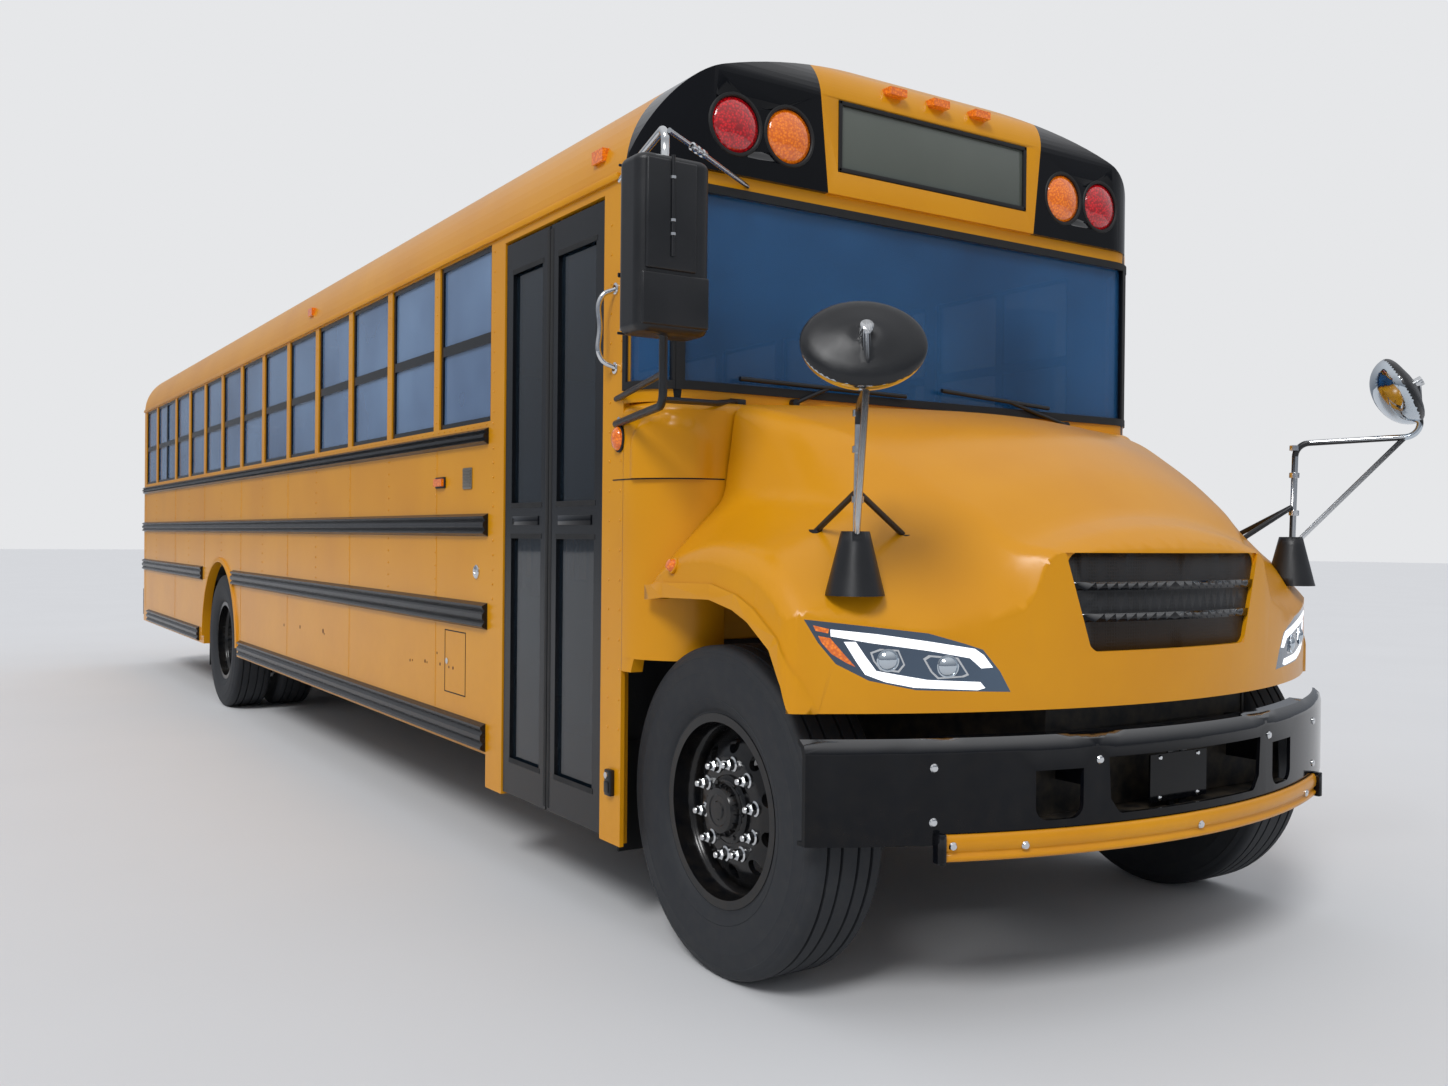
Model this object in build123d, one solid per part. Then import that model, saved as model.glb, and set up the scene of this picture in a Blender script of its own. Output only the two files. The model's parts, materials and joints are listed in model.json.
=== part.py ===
from build123d import *
import math
import os

# A conventional school bus, long wheelbase, at its real size in millimetres.
# X points forward, Y to the left, Z up. The origin is on the ground, under the
# middle of the whole length.

os.makedirs("parts", exist_ok=True)

# Body: outer skin, roof arch and wall thickness
HALF_WIDTH = 1220.0
WALL = 50.0
EAVE_Z = 2574.0
ROOF_TOP = 3080.0
COVE_RADIUS = 380.0
ROOF_SKIN = 45.0
REAR_X = -5755.0
SIDE_FRONT_X = 4500.0
SKIRT_Z = 440.0
POST_FOOT_Z = 305.0
FLOOR_TOP = 1000.0
FLOOR_PLATE = 40.0
SILL_DEPTH = 60.0

# Windows: pillar pitch, pillar width and the height of the openings
FIRST_PILLAR_X = 3386.0
PITCH = 669.0
STANDARD_COUNT = 11
WIDE_PITCH = 1022.0
PILLAR = 70.0
WINDOW_Z = (1824.0, 2554.0)
DRIVER_WINDOW = (3421.0, 4300.0)

# Entry door on the right side, two leaves
DOOR_X = (3492.0, 4352.0)
DOOR_SEAM_X = 3908.0
DOOR_TOP = 2530.0
LEAF_Z = (318.0, 2518.0)
LEAF_GAP = 8.0
SEAM_GAP = 12.0
LEAF_THICK = 40.0
LEAF_INSET = 5.0

# Rear emergency door
REAR_DOOR_HALF = 390.0
REAR_DOOR_Z = (1008.0, 2480.0)

# Front end
FACE_X = 4680.0
FACE_RADIUS = 200.0
COWL_FRONT_X = 4755.0
COWL_TOP = 1800.0
COWL_BASE = 900.0
SHOULDER_REACH = 255.0

# Wheels, axles and frame
WHEELBASE = 7010.0
FRONT_AXLE_X = 4975.0
REAR_AXLE_X = FRONT_AXLE_X - WHEELBASE
TYRE_RADIUS = 510.0
TYRE_HALF = 140.0
RIM_RADIUS = 286.0
FRONT_WHEEL_Y = 1020.0
DUAL_OUTER_Y = 1060.0
DUAL_INNER_Y = 725.0
KINGPIN_Y = 880.0
RAIL_OUTER_Y = 470.0
RAIL_Z = (640.0, 900.0)
RAIL_X = (-5690.0, 5690.0)

# Bumpers
BUMPER_NOSE_X = 5856.0
BUMPER_ARC = 2300.0
BUMPER_HALF = 1205.0

# Hood
HOOD_REAR_X = 4763.0
HOOD_BASE_Z = 872.0
HOOD_SKIN = 14.0
HOOD_GAP = 8.0


def block(x, y, z):
    """A box between two corners, given as low and high pairs."""
    size = (x[1] - x[0], y[1] - y[0], z[1] - z[0])
    centre = ((x[0] + x[1]) / 2, (y[0] + y[1]) / 2, (z[0] + z[1]) / 2)
    return Pos(*centre) * Box(*size)


def rod(start, end, radius):
    """A round bar from one point to another."""
    line = Vector(*end) - Vector(*start)
    plane = Plane(origin=start, z_dir=line.normalized())
    return extrude(plane * Circle(radius), amount=line.length)


def tube_run(points, radius, bend):
    """A round bar bent to the given radius at each corner of its route."""
    path = FilletPolyline(*points, radius=bend)
    return sweep(Plane(origin=path @ 0, z_dir=path % 0) * Circle(radius), path=path)


def side_panel(points, y):
    """A flat outline in X and Z, pulled across from y[0] to y[1]."""
    face = make_face(Polyline(*[(px, pz) for px, pz in points], close=True))
    plane = Plane(origin=(0, y[1], 0), x_dir=(1, 0, 0), z_dir=(0, -1, 0))
    return extrude(plane * face, amount=y[1] - y[0])


def both_sides(shape):
    """The shape and its mirror image across the centre plane."""
    return [shape, mirror(shape, about=Plane.XZ)]


def write(node, *shapes):
    """One STEP file for one node, with every separate solid in it."""
    solids = []
    for shape in shapes:
        solids.extend(shape.solids())
    whole = Compound(children=solids) if len(solids) > 1 else solids[0]
    export_step(whole, "parts/" + node + ".step")


# Roof arch: a crown arc that runs tangent into a cove arc at each eave
COVE_Y = HALF_WIDTH - COVE_RADIUS
RISE = ROOF_TOP - EAVE_Z
CROWN_RADIUS = (COVE_Y ** 2 + RISE ** 2 - COVE_RADIUS ** 2) / (2 * (RISE - COVE_RADIUS))
CROWN_Z = ROOF_TOP - CROWN_RADIUS


def arch_points(inset):
    """Five points of half the arch, from the eave up to the crown."""
    lean = math.atan2(EAVE_Z - CROWN_Z, COVE_Y)
    cove = COVE_RADIUS - inset
    crown = CROWN_RADIUS - inset
    middle = lean / 2
    return [
        (HALF_WIDTH - inset, EAVE_Z),
        (COVE_Y + cove * math.cos(middle), EAVE_Z + cove * math.sin(middle)),
        (crown * math.cos(lean), CROWN_Z + crown * math.sin(lean)),
        (0.0, ROOF_TOP - inset),
    ]


def arch_edges(inset):
    """Cove, crown and cove arcs from the left eave to the right eave."""
    eave, cove, tangent, top = arch_points(inset)
    flip = [(-py, pz) for py, pz in (eave, cove, tangent)]
    left = ThreePointArc(eave, cove, tangent)
    crown = ThreePointArc(tangent, top, flip[2])
    right = ThreePointArc(flip[2], flip[1], flip[0])
    return left + crown + right


def arch_face(inset, foot_z):
    """The whole body section, down to foot_z, set in by inset."""
    half = HALF_WIDTH - inset
    walls = [(-half, EAVE_Z), (half, EAVE_Z)]
    if foot_z < EAVE_Z:
        walls[1:1] = [(-half, foot_z), (half, foot_z)]
    return make_face(arch_edges(inset) + Polyline(*walls))


def arch_solid(x, inset, foot_z):
    """The body section pulled along X."""
    return extrude(Plane.YZ.offset(x[0]) * arch_face(inset, foot_z), amount=x[1] - x[0])


# Roof
ROOF_X = (REAR_X + WALL, SIDE_FRONT_X)
roof = arch_solid(ROOF_X, 0, EAVE_Z) - arch_solid(ROOF_X, ROOF_SKIN, EAVE_Z - 50)
HATCHES = [(-3300.0, "rear_roof_hatch"), (2300.0, "front_roof_hatch")]
HATCH_HALF = (300.0, 300.0)
HATCH_TOP = ROOF_TOP + 45.0
CURB = 30.0
for hatch_x, hatch_name in HATCHES:
    opening_x = (hatch_x - HATCH_HALF[0], hatch_x + HATCH_HALF[0])
    opening_y = (-HATCH_HALF[1], HATCH_HALF[1])
    curb_x = (opening_x[0] - CURB, opening_x[1] + CURB)
    curb_y = (opening_y[0] - CURB, opening_y[1] + CURB)
    roof += block(curb_x, curb_y, (ROOF_TOP - ROOF_SKIN, ROOF_TOP + 12))
    roof -= block(opening_x, opening_y, (ROOF_TOP - 300, ROOF_TOP + 100))
    lid = block(curb_x, curb_y, (ROOF_TOP + 18, HATCH_TOP))
    lid = fillet(lid.edges().filter_by(Axis.Z), 40)
    lid = fillet(lid.faces().sort_by(Axis.Z)[-1].edges(), 15)
    write(hatch_name, lid)
write("roof", roof)

# Window openings, as low and high X, from front to rear
windows = []
pillar_x = FIRST_PILLAR_X
for index in range(STANDARD_COUNT + 2):
    step = WIDE_PITCH if index == STANDARD_COUNT else PITCH
    windows.append((pillar_x - step + PILLAR / 2, pillar_x - PILLAR / 2))
    pillar_x -= step

# Side walls: rear arch as an arc, windows cut right through. Beside the steered
# wheel the front post is only a skin.
ARCH_RADIUS = 615.0
ARCH_Z = 505.0
ARCH_X = REAR_AXLE_X + 25.0
POST_SKIN = 15.0
POST_SKIN_X = 4460.0
WHEEL_HOUSE_Z = (280.0, 1030.0)


def side_wall(side):
    """One side wall. side is -1 for the right, with the door, and 1 for the left."""
    outer = side * HALF_WIDTH
    inner = side * (HALF_WIDTH - WALL)
    y = (min(outer, inner), max(outer, inner))
    cut_y = (y[0] - 20, y[1] + 20)
    wall = block((REAR_X + WALL, SIDE_FRONT_X), y, (SKIRT_Z, EAVE_Z))
    post_rear = DOOR_X[0] - 165.0
    wall += block((post_rear, SIDE_FRONT_X), y, (POST_FOOT_Z, SKIRT_Z))
    wall -= Pos(ARCH_X, (y[0] + y[1]) / 2, ARCH_Z) * Rot(90, 0, 0) * Cylinder(ARCH_RADIUS, WALL * 3)
    wall -= block((ARCH_X - ARCH_RADIUS, ARCH_X + ARCH_RADIUS), cut_y, (SKIRT_Z - 10, ARCH_Z))
    skin = sorted((side * (HALF_WIDTH - POST_SKIN), side * (HALF_WIDTH - WALL - 20)))
    wall -= block((POST_SKIN_X, SIDE_FRONT_X + 10), skin, WHEEL_HOUSE_Z)
    for low, high in windows:
        wall -= block((low, high), cut_y, WINDOW_Z)
    if side < 0:
        wall -= block(DOOR_X, cut_y, (POST_FOOT_Z - 10, DOOR_TOP))
    else:
        wall -= block(DRIVER_WINDOW, cut_y, WINDOW_Z)
    return wall


write("side_wall_right", side_wall(-1))
write("side_wall_left", side_wall(1))

# Window sashes: a frame in each opening with a rail across its middle, the
# upper light standing outside the lower one
SASH = 22.0
SASH_Z = 2174.0
SASH_OUT = 8.0
SASH_DEEP = 26.0
GLASS = 6.0


def sash(side, x, z, out):
    """One light: its frame and its pane, out of the skin plane by out."""
    outer = HALF_WIDTH - out
    frame_y = (outer - SASH_DEEP, outer)
    frame = block(x, frame_y, z)
    hole_x = (x[0] + SASH, x[1] - SASH)
    hole_z = (z[0] + SASH, z[1] - SASH)
    frame -= block(hole_x, (outer - 60, outer + 20), hole_z)
    middle = outer - SASH_DEEP / 2
    pane = block(hole_x, (middle - GLASS / 2, middle + GLASS / 2), hole_z)
    if side < 0:
        return mirror(frame, about=Plane.XZ), mirror(pane, about=Plane.XZ)
    return frame, pane


frames = []
panes = []
for side in (-1, 1):
    lights = list(windows)
    if side > 0:
        lights.append(DRIVER_WINDOW)
    for low, high in lights:
        spans = [(low, high)]
        if high - low > PITCH:
            middle = (low + high) / 2
            spans = [(low, middle), (middle, high)]
        for span in spans:
            for z, out in (((SASH_Z, WINDOW_Z[1]), SASH_OUT), ((WINDOW_Z[0], SASH_Z), SASH_OUT)):
                frame, pane = sash(side, span, z, out)
                frames.append(frame)
                panes.append(pane)
write("window_sashes", *frames)

# Rub rails: low and high X, centre Z and height
RAIL_OUT = 24.0
RUB_RAILS = [
    (REAR_X + 20, 3335, 1764, 70),
    (REAR_X + 20, 3335, 1394, 96),
    (-1535, 3335, 1014, 112),
    (REAR_X + 20, -2685, 1014, 112),
    (-1295, 3325, 508, 118),
    (-5445, -2815, 508, 118),
]


def rub_rail(low, high, centre, height):
    """A ribbed rail: three ribs with two grooves, on the left wall."""
    half = height / 2
    groove = height / 8
    skin = HALF_WIDTH
    face = HALF_WIDTH + RAIL_OUT
    deep = face - RAIL_OUT / 2
    points = [(skin, -half), (face, -half + 12)]
    for middle in (-height / 5, height / 5):
        points += [(face, middle - groove), (deep, middle), (face, middle + groove)]
    points += [(face, half - 12), (skin, half)]
    outline = make_face(Polyline(*[(py, centre + pz) for py, pz in points], close=True))
    return extrude(Plane.YZ.offset(low) * outline, amount=high - low)


rails = []
for low, high, centre, height in RUB_RAILS:
    rail = rub_rail(low, high, centre, height)
    rails += both_sides(rail)
write("rub_rails", *rails)

# Rear wall with its door opening, two fixed windows and the lamp positions
REAR_LIGHT_Y = (490.0, 1090.0)
REAR_LIGHT_Z = (1830.0, 2480.0)
rear_wall = arch_solid((REAR_X, REAR_X + WALL), 0, SKIRT_Z)
rear_cut_x = (REAR_X - 20, REAR_X + WALL + 20)
door_half = REAR_DOOR_HALF + LEAF_GAP
rear_wall -= block(rear_cut_x, (-door_half, door_half), (REAR_DOOR_Z[0] - 8, REAR_DOOR_Z[1] + 8))
for side in (-1, 1):
    rear_wall -= block(rear_cut_x, sorted((side * 375.0, side * 475.0)), (645, 745))
for side in (-1, 1):
    y = sorted((side * REAR_LIGHT_Y[0], side * REAR_LIGHT_Y[1]))
    rear_wall -= block(rear_cut_x, y, REAR_LIGHT_Z)
    panes.append(block((REAR_X + 20, REAR_X + 26), y, REAR_LIGHT_Z))
write("rear_wall", rear_wall)
write("window_glass", *panes)

REAR_DOOR_X = (REAR_X + 3, REAR_X + 43)
REAR_DOOR_LIGHTS = [(1180.0, 1640.0), (1780.0, 2400.0)]
rear_door = block(REAR_DOOR_X, (-REAR_DOOR_HALF, REAR_DOOR_HALF), REAR_DOOR_Z)
door_panes = []
for low, high in REAR_DOOR_LIGHTS:
    light_y = (-REAR_DOOR_HALF + 90, REAR_DOOR_HALF - 90)
    rear_door -= block(rear_cut_x, light_y, (low, high))
    door_panes.append(block((REAR_X + 20, REAR_X + 26), light_y, (low, high)))
write("rear_door", rear_door)
write("rear_door_glass", *door_panes)

# Entry door leaves: tall frames with an upper and a lower light
LEAF_STILE = 62.0
LEAF_LIGHTS = [(455.0, 1350.0), (1470.0, 2400.0)]
LEAVES = [
    ("rear", (DOOR_X[0] + LEAF_GAP, DOOR_SEAM_X - SEAM_GAP / 2)),
    ("front", (DOOR_SEAM_X + SEAM_GAP / 2, DOOR_X[1] - LEAF_GAP)),
]
leaf_y = (-HALF_WIDTH + LEAF_INSET, -HALF_WIDTH + LEAF_INSET + LEAF_THICK)
for name, span in LEAVES:
    leaf = block(span, leaf_y, LEAF_Z)
    leaf_glass = []
    for low, high in LEAF_LIGHTS:
        light_x = (span[0] + LEAF_STILE, span[1] - LEAF_STILE)
        leaf -= block(light_x, (leaf_y[0] - 20, leaf_y[1] + 20), (low, high))
        leaf_glass.append(block(light_x, (leaf_y[0] + 15, leaf_y[0] + 21), (low, high)))
    write("entry_door_" + name, leaf)
    write("entry_door_" + name + "_glass", *leaf_glass)

# Floor: plate on cross sills, open over each pair of rear wheels
HOUSING_RADIUS = 600.0
HOUSING_Y = 540.0
STEP_X = (3480.0, 4365.0)
STEP_INNER_Y = -640.0
floor_x = (REAR_X + WALL, COWL_FRONT_X - 45)
WHEEL_WELL_X = 4600.0
WHEEL_WELL_Y = 620.0
inner_half = HALF_WIDTH - WALL
plate_z = (FLOOR_TOP - FLOOR_PLATE, FLOOR_TOP)
floor = block(floor_x, (-inner_half, inner_half), plate_z)
sill_count = 14
sill_first = REAR_X + 250
sill_step = (3300 - sill_first) / (sill_count - 1)
for index in range(sill_count):
    sill_x = sill_first + index * sill_step
    if abs(sill_x - REAR_AXLE_X) > HOUSING_RADIUS + 60:
        sill_y = (-inner_half, inner_half)
    else:
        sill_y = (-HOUSING_Y, HOUSING_Y)
    floor += block((sill_x, sill_x + 60), sill_y, (plate_z[0] - SILL_DEPTH, plate_z[0]))
HOUSING_SKIN = 12.0
housing_y = (HOUSING_Y + inner_half) / 2
spot = Pos(REAR_AXLE_X, housing_y, ARCH_Z) * Rot(90, 0, 0)
drum = spot * Cylinder(HOUSING_RADIUS + HOUSING_SKIN, inner_half - HOUSING_Y)
hollow = Pos(0, HOUSING_SKIN, 0) * spot * Cylinder(HOUSING_RADIUS, inner_half - HOUSING_Y)
housing = (drum - hollow) & block(
    (REAR_AXLE_X - 700, REAR_AXLE_X + 700), (0, HALF_WIDTH), (FLOOR_TOP, 1400))
for shape in both_sides(hollow):
    floor -= shape
write("wheel_housings", *both_sides(housing))
floor -= block(STEP_X, (-inner_half - 5, STEP_INNER_Y), (plate_z[0] - 100, FLOOR_TOP + 10))
for side in (-1, 1):
    well_y = sorted((side * WHEEL_WELL_Y, side * (inner_half + 5)))
    floor -= block((WHEEL_WELL_X, floor_x[1] + 5), well_y, (plate_z[0] - 10, FLOOR_TOP + 10))
write("floor", floor)

# Entry steps: three treads between two cheeks, as folded sheet
TREAD = 12.0
STEP_PROFILE = [
    (-1165, 335), (-985, 335), (-985, 560), (-812, 560), (-812, 780),
    (STEP_INNER_Y, 780), (STEP_INNER_Y, 1000),
]
upper = [(py, pz) for py, pz in STEP_PROFILE]
lower = [(py + TREAD, pz - TREAD) for py, pz in reversed(STEP_PROFILE)]
lower[0] = (STEP_INNER_Y + TREAD, 1000)
lower[-1] = (-1165, 335 - TREAD)
step_face = make_face(Polyline(*(upper + lower), close=True))
cheek = 10.0
STEP_Y = STEP_INNER_Y - 0.5
shift = Pos(0, -TREAD - 0.5, 0)
tread_length = STEP_X[1] - STEP_X[0] - 2 * cheek
steps = shift * extrude(Plane.YZ.offset(STEP_X[0] + cheek) * step_face, amount=tread_length)
steps = steps & block(STEP_X, (-1168, 0), (0, 1000))
for low in (STEP_X[0], STEP_X[1] - cheek):
    steps += block((low, low + cheek), (-1168, STEP_Y), (335 - TREAD, 1000))
write("entry_steps", steps)


# Front plan: straight sides, round corners and a flat face
def plan_face(rear_x, face_x, half, radius):
    """The body's plan outline from rear_x to its rounded front."""
    tail = 2 * radius
    outline = Rectangle(face_x - rear_x + tail, 2 * half, align=(Align.MIN, Align.CENTER))
    front = outline.vertices().group_by(Axis.X)[-1]
    rounded = Pos(rear_x - tail, 0) * fillet(front, radius)
    return rounded - Pos(rear_x, 0) * Rectangle(tail + 10, 3 * half, align=(Align.MAX, Align.CENTER))


def front_band(inset, z, rear_x=SIDE_FRONT_X):
    """The windshield band, set in by inset."""
    plan = plan_face(rear_x, FACE_X - inset, HALF_WIDTH - inset, FACE_RADIUS - inset)
    return extrude(Pos(0, 0, z[0]) * plan, amount=z[1] - z[0])


BAND_Z = (COWL_TOP, EAVE_Z)
SCREEN_Y = 1090.0
SCREEN_Z = (1866.0, 2505.0)
QUARTER_X = (SIDE_FRONT_X + 15, FACE_X + 40)
QUARTER_Y = (1122.0, HALF_WIDTH + 40)
FRAME_DEEP = 45.0
SEAL = 24.0


def screen_cut(grow):
    """Prisms through the windshield and the two corner lights."""
    z = (SCREEN_Z[0] - grow, SCREEN_Z[1] + grow)
    x = (4580.0, FACE_X + 60)
    cut = block(x, (-SCREEN_Y - grow, SCREEN_Y + grow), z)
    corner = block((QUARTER_X[0] - grow, QUARTER_X[1]), (QUARTER_Y[0] - grow * 0.25, QUARTER_Y[1]), z)
    for prism in both_sides(corner):
        cut += prism
    return cut


band = front_band(0, BAND_Z) - front_band(FRAME_DEEP, (BAND_Z[0] - 5, BAND_Z[1] + 5), SIDE_FRONT_X - 50)
opening = screen_cut(0)
write("windshield_frame", band - screen_cut(0))
pane_band = front_band(14, SCREEN_Z) - front_band(20, SCREEN_Z, SIDE_FRONT_X - 50)
write("windshield_glass", pane_band & opening)

# Front cap: the roof arch closed over the windshield, with a round brow
CAP_FACE_X = 4700.0
CAP_RADIUS = 240.0
BROW_RADIUS = 170.0


def cap_solid(inset):
    """The solid brow, set in by inset."""
    front = CAP_FACE_X - inset
    plan = plan_face(SIDE_FRONT_X - inset, front, HALF_WIDTH - inset, CAP_RADIUS - inset)
    tower = extrude(Pos(0, 0, EAVE_Z - inset) * plan, amount=ROOF_TOP - EAVE_Z + inset)
    arch = arch_solid((SIDE_FRONT_X - inset, front), inset, EAVE_Z - inset)
    slab = Rectangle(front - SIDE_FRONT_X + inset, ROOF_TOP - EAVE_Z, align=(Align.MIN, Align.MIN))
    corner = slab.vertices().sort_by(lambda v: v.X + v.Y)[-1]
    slab = Pos(SIDE_FRONT_X - inset, EAVE_Z - inset) * fillet(corner, BROW_RADIUS - inset)
    brow = extrude(Plane.XZ.offset(-HALF_WIDTH) * slab, amount=2 * HALF_WIDTH)
    return tower & arch & brow


cap = cap_solid(0) - cap_solid(ROOF_SKIN)
# The yellow centre lies between two leaning seams; the lamp pods lie outside
SEAM_TOP_Y = 572.0
SEAM_FOOT_Y = 514.0
centre_face = make_face(Polyline(
    (-SEAM_FOOT_Y, EAVE_Z - 20), (SEAM_FOOT_Y, EAVE_Z - 20),
    (SEAM_TOP_Y, ROOF_TOP + 20), (-SEAM_TOP_Y, ROOF_TOP + 20), close=True))
centre = extrude(Plane.YZ.offset(SIDE_FRONT_X - 50) * centre_face, amount=400)
SIGN_Y = 474.0
SIGN_Z = (2655.0, 2912.0)
sign = block((CAP_FACE_X - 12, CAP_FACE_X + 20), (-SIGN_Y, SIGN_Y), SIGN_Z)
write("front_cap", (cap & centre) - sign)
LAMP_Z = 2741.0
LAMP_Y = [("red", 909.0), ("amber", 687.0)]
LAMP_RADIUS = 92.0
LAMP_SEAT = 20.0
pods = cap - centre
for colour, lamp_y in LAMP_Y:
    for side in (-1, 1):
        seat_y = side * lamp_y
        pods -= rod((CAP_FACE_X - LAMP_SEAT, seat_y, LAMP_Z), (CAP_FACE_X + 40, seat_y, LAMP_Z), 108)
# Rear lamp boxes, with the same four lamps
rear_pod = block((REAR_X - 30, REAR_X), (570, 1030), (2610, 2870))
rear_pod = fillet(rear_pod.edges().filter_by(Axis.X), 60)
write("light_pods", pods, *both_sides(rear_pod))


def lens(x, y, z, facing, radius, depth):
    """A round lens with a domed face, standing on the plane at x."""
    rim = depth * 0.4
    dome = TangentArc((0, depth), (radius, rim), tangent=(1, 0))
    profile = make_face(dome + Polyline((radius, rim), (radius, 0), (0, 0), (0, depth)))
    turned = revolve(Plane.XZ * profile, Axis.Z)
    return Plane(origin=(x, y, z), z_dir=(facing, 0, 0)) * turned


lamp_sets = {"red": [], "amber": []}
for colour, lamp_y in LAMP_Y:
    for side in (-1, 1):
        spot_y = side * lamp_y
        lamp_sets[colour].append(lens(CAP_FACE_X - LAMP_SEAT, spot_y, LAMP_Z, 1, LAMP_RADIUS, 38))
        lamp_sets[colour].append(lens(REAR_X - 30, spot_y, LAMP_Z, -1, LAMP_RADIUS, 26))

# Tail lamps on the rear wall: height, distance from the centre, radius and colour
TAIL_LAMPS = [
    (1560.0, 985.0, 90.0, "red"),
    (1560.0, 770.0, 90.0, "amber"),
    (1330.0, 985.0, 62.0, "red"),
]
for height, distance, radius, colour in TAIL_LAMPS:
    for side in (-1, 1):
        lamp_sets[colour].append(lens(REAR_X, side * distance, height, -1, radius, 24))

# Marker lamps: three in the middle of the brow, two on each roof edge
for marker_y in (-212.0, 0.0, 212.0):
    marker_x = (CAP_FACE_X - 50, CAP_FACE_X + 22)
    marker = block(marker_x, (marker_y - 40, marker_y + 40), (2971, 2999))
    lamp_sets["amber"].append(marker - cap_solid(0))
for marker_x in (4300.0, 560.0):
    marker = block((marker_x - 40, marker_x + 40), (HALF_WIDTH - 60, HALF_WIDTH + 6), (2655, 2700))
    outside = marker - arch_solid((marker_x - 60, marker_x + 60), 0, EAVE_Z)
    lamp_sets["amber"] += both_sides(outside)
SIDE_MARKERS = [(-1, 2786.0), (1, 2450.0)]
for side, marker_x in SIDE_MARKERS:
    marker_y = sorted((side * HALF_WIDTH, side * (HALF_WIDTH + 20)))
    lamp_sets["amber"].append(block((marker_x - 50, marker_x + 50), marker_y, (1568, 1602)))
write("lamps_red", *lamp_sets["red"])
write("lamps_amber", *lamp_sets["amber"])


# Cowl: the front of the cabin beside and behind the hood
def cowl_solid(inset, z):
    """The cowl's plan, with a wide elliptic shoulder at each corner."""
    front = COWL_FRONT_X - inset
    plan = plan_face(SIDE_FRONT_X, front, HALF_WIDTH - inset, SHOULDER_REACH - 5 - inset)
    return extrude(Pos(0, 0, z[0]) * plan, amount=z[1] - z[0])


cowl = cowl_solid(0, (COWL_BASE, COWL_TOP))
top_edges = cowl.faces().sort_by(Axis.Z)[-1].edges()
cowl = fillet(top_edges.filter_by(lambda e: e.center().X > SIDE_FRONT_X + 5), 40)
cowl_hollow_z = (COWL_BASE - 5, COWL_TOP - FRAME_DEEP)
cowl -= cowl_solid(FRAME_DEEP, cowl_hollow_z)
cowl -= block((SIDE_FRONT_X - 10, SIDE_FRONT_X + 40), (-HALF_WIDTH + 60, HALF_WIDTH - 60), cowl_hollow_z)
# The wheel houses: an arch over each front wheel, lined with sheet on the inside
FRONT_ARCH = [
    (4490, 560), (4508, 600), (4524, 755), (4548, 870), (4577, 967),
    (4625, 1065), (4690, 1150), (4900, 1165), (4900, 560),
]
LINER = 15.0
for side in (-1, 1):
    y = sorted((side * (WHEEL_WELL_Y + 5), side * 1260.0))
    liner_y = sorted((side * (WHEEL_WELL_Y + 5 - LINER), side * (HALF_WIDTH - 20)))
    lined = [(px - LINER, pz + LINER) for px, pz in FRONT_ARCH]
    cowl += side_panel(lined, liner_y) & cowl_solid(10, (COWL_BASE, COWL_TOP))
    cowl -= side_panel(FRONT_ARCH, y)
floor_slot = block((4400, floor_x[1]), (-WHEEL_WELL_Y, WHEEL_WELL_Y), (COWL_BASE - 10, FLOOR_TOP))
side_slot = block((4400, WHEEL_WELL_X), (-inner_half, inner_half), (COWL_BASE - 10, FLOOR_TOP))
write("cowl", cowl - floor_slot - side_slot)

# Windshield seal: the black rubber round every light of the front band
outer_band = front_band(-7, BAND_Z) & block((SIDE_FRONT_X, FACE_X + 60), (-1400, 1400), (1700, 2700))
ring = outer_band - front_band(0, BAND_Z, SIDE_FRONT_X - 50)
ring = (ring & screen_cut(SEAL)) - screen_cut(-4)
write("windshield_seal", ring)

# Wipers: an arm and a blade each, resting on the glass
WIPER_X = FACE_X + 14
WIPERS = [
    ((WIPER_X, -650, 1842), (WIPER_X, -500, 1885), (WIPER_X, -880, 1890), (WIPER_X, -140, 1880)),
    ((WIPER_X, 720, 1842), (WIPER_X, 380, 1900), (WIPER_X, 40, 1915), (WIPER_X, 620, 1885)),
]
wipers = []
for pivot, joint, tip, heel in WIPERS:
    arm = rod((COWL_FRONT_X - 74, pivot[1], pivot[2] - 20), (WIPER_X + 12, pivot[1], pivot[2] - 20), 14)
    arm += rod((WIPER_X + 6, pivot[1], pivot[2] - 20), joint, 7)
    arm += rod(tip, heel, 8)
    wipers.append(arm)
write("wipers", *wipers)

# Frame: two channel rails, and the members that cross between them
RAIL_WEB = 10.0
RAIL_FLANGE = 85.0
rail_inner = RAIL_OUTER_Y - RAIL_FLANGE
rail = block(RAIL_X, (rail_inner, RAIL_OUTER_Y), RAIL_Z)
rail -= block(
    (RAIL_X[0] - 5, RAIL_X[1] + 5), (rail_inner - 5, RAIL_OUTER_Y - RAIL_WEB),
    (RAIL_Z[0] + RAIL_WEB, RAIL_Z[1] - RAIL_WEB))
write("chassis_frame", *both_sides(rail))
CROSS_X = [-5500, -4300, -3000, REAR_AXLE_X - 560, REAR_AXLE_X + 560, 0, 1300, 2600, 3800, 5645]
CROSS_Z = (765.0, 860.0)
web_y = RAIL_OUTER_Y - RAIL_WEB
members = [block((cross_x - 40, cross_x + 40), (-web_y, web_y), CROSS_Z) for cross_x in CROSS_X]
# Tow eyes: a drilled plate under the rear end of each rail, its hole clear of the skirt
TOW_X = (-5700.0, -5570.0)
TOW_Y = (410.0, 430.0)
TOW_Z = (365.0, 640.0)
TOW_HOLE = (-5658.0, 405.0)
TOW_HOLE_RADIUS = 22.0
tow_eye = block(TOW_X, TOW_Y, TOW_Z)
tow_eye -= rod(
    (TOW_HOLE[0], TOW_Y[0] - 5, TOW_HOLE[1]), (TOW_HOLE[0], TOW_Y[1] + 5, TOW_HOLE[1]), TOW_HOLE_RADIUS)
write("frame_members", *members, *both_sides(tow_eye))

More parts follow.
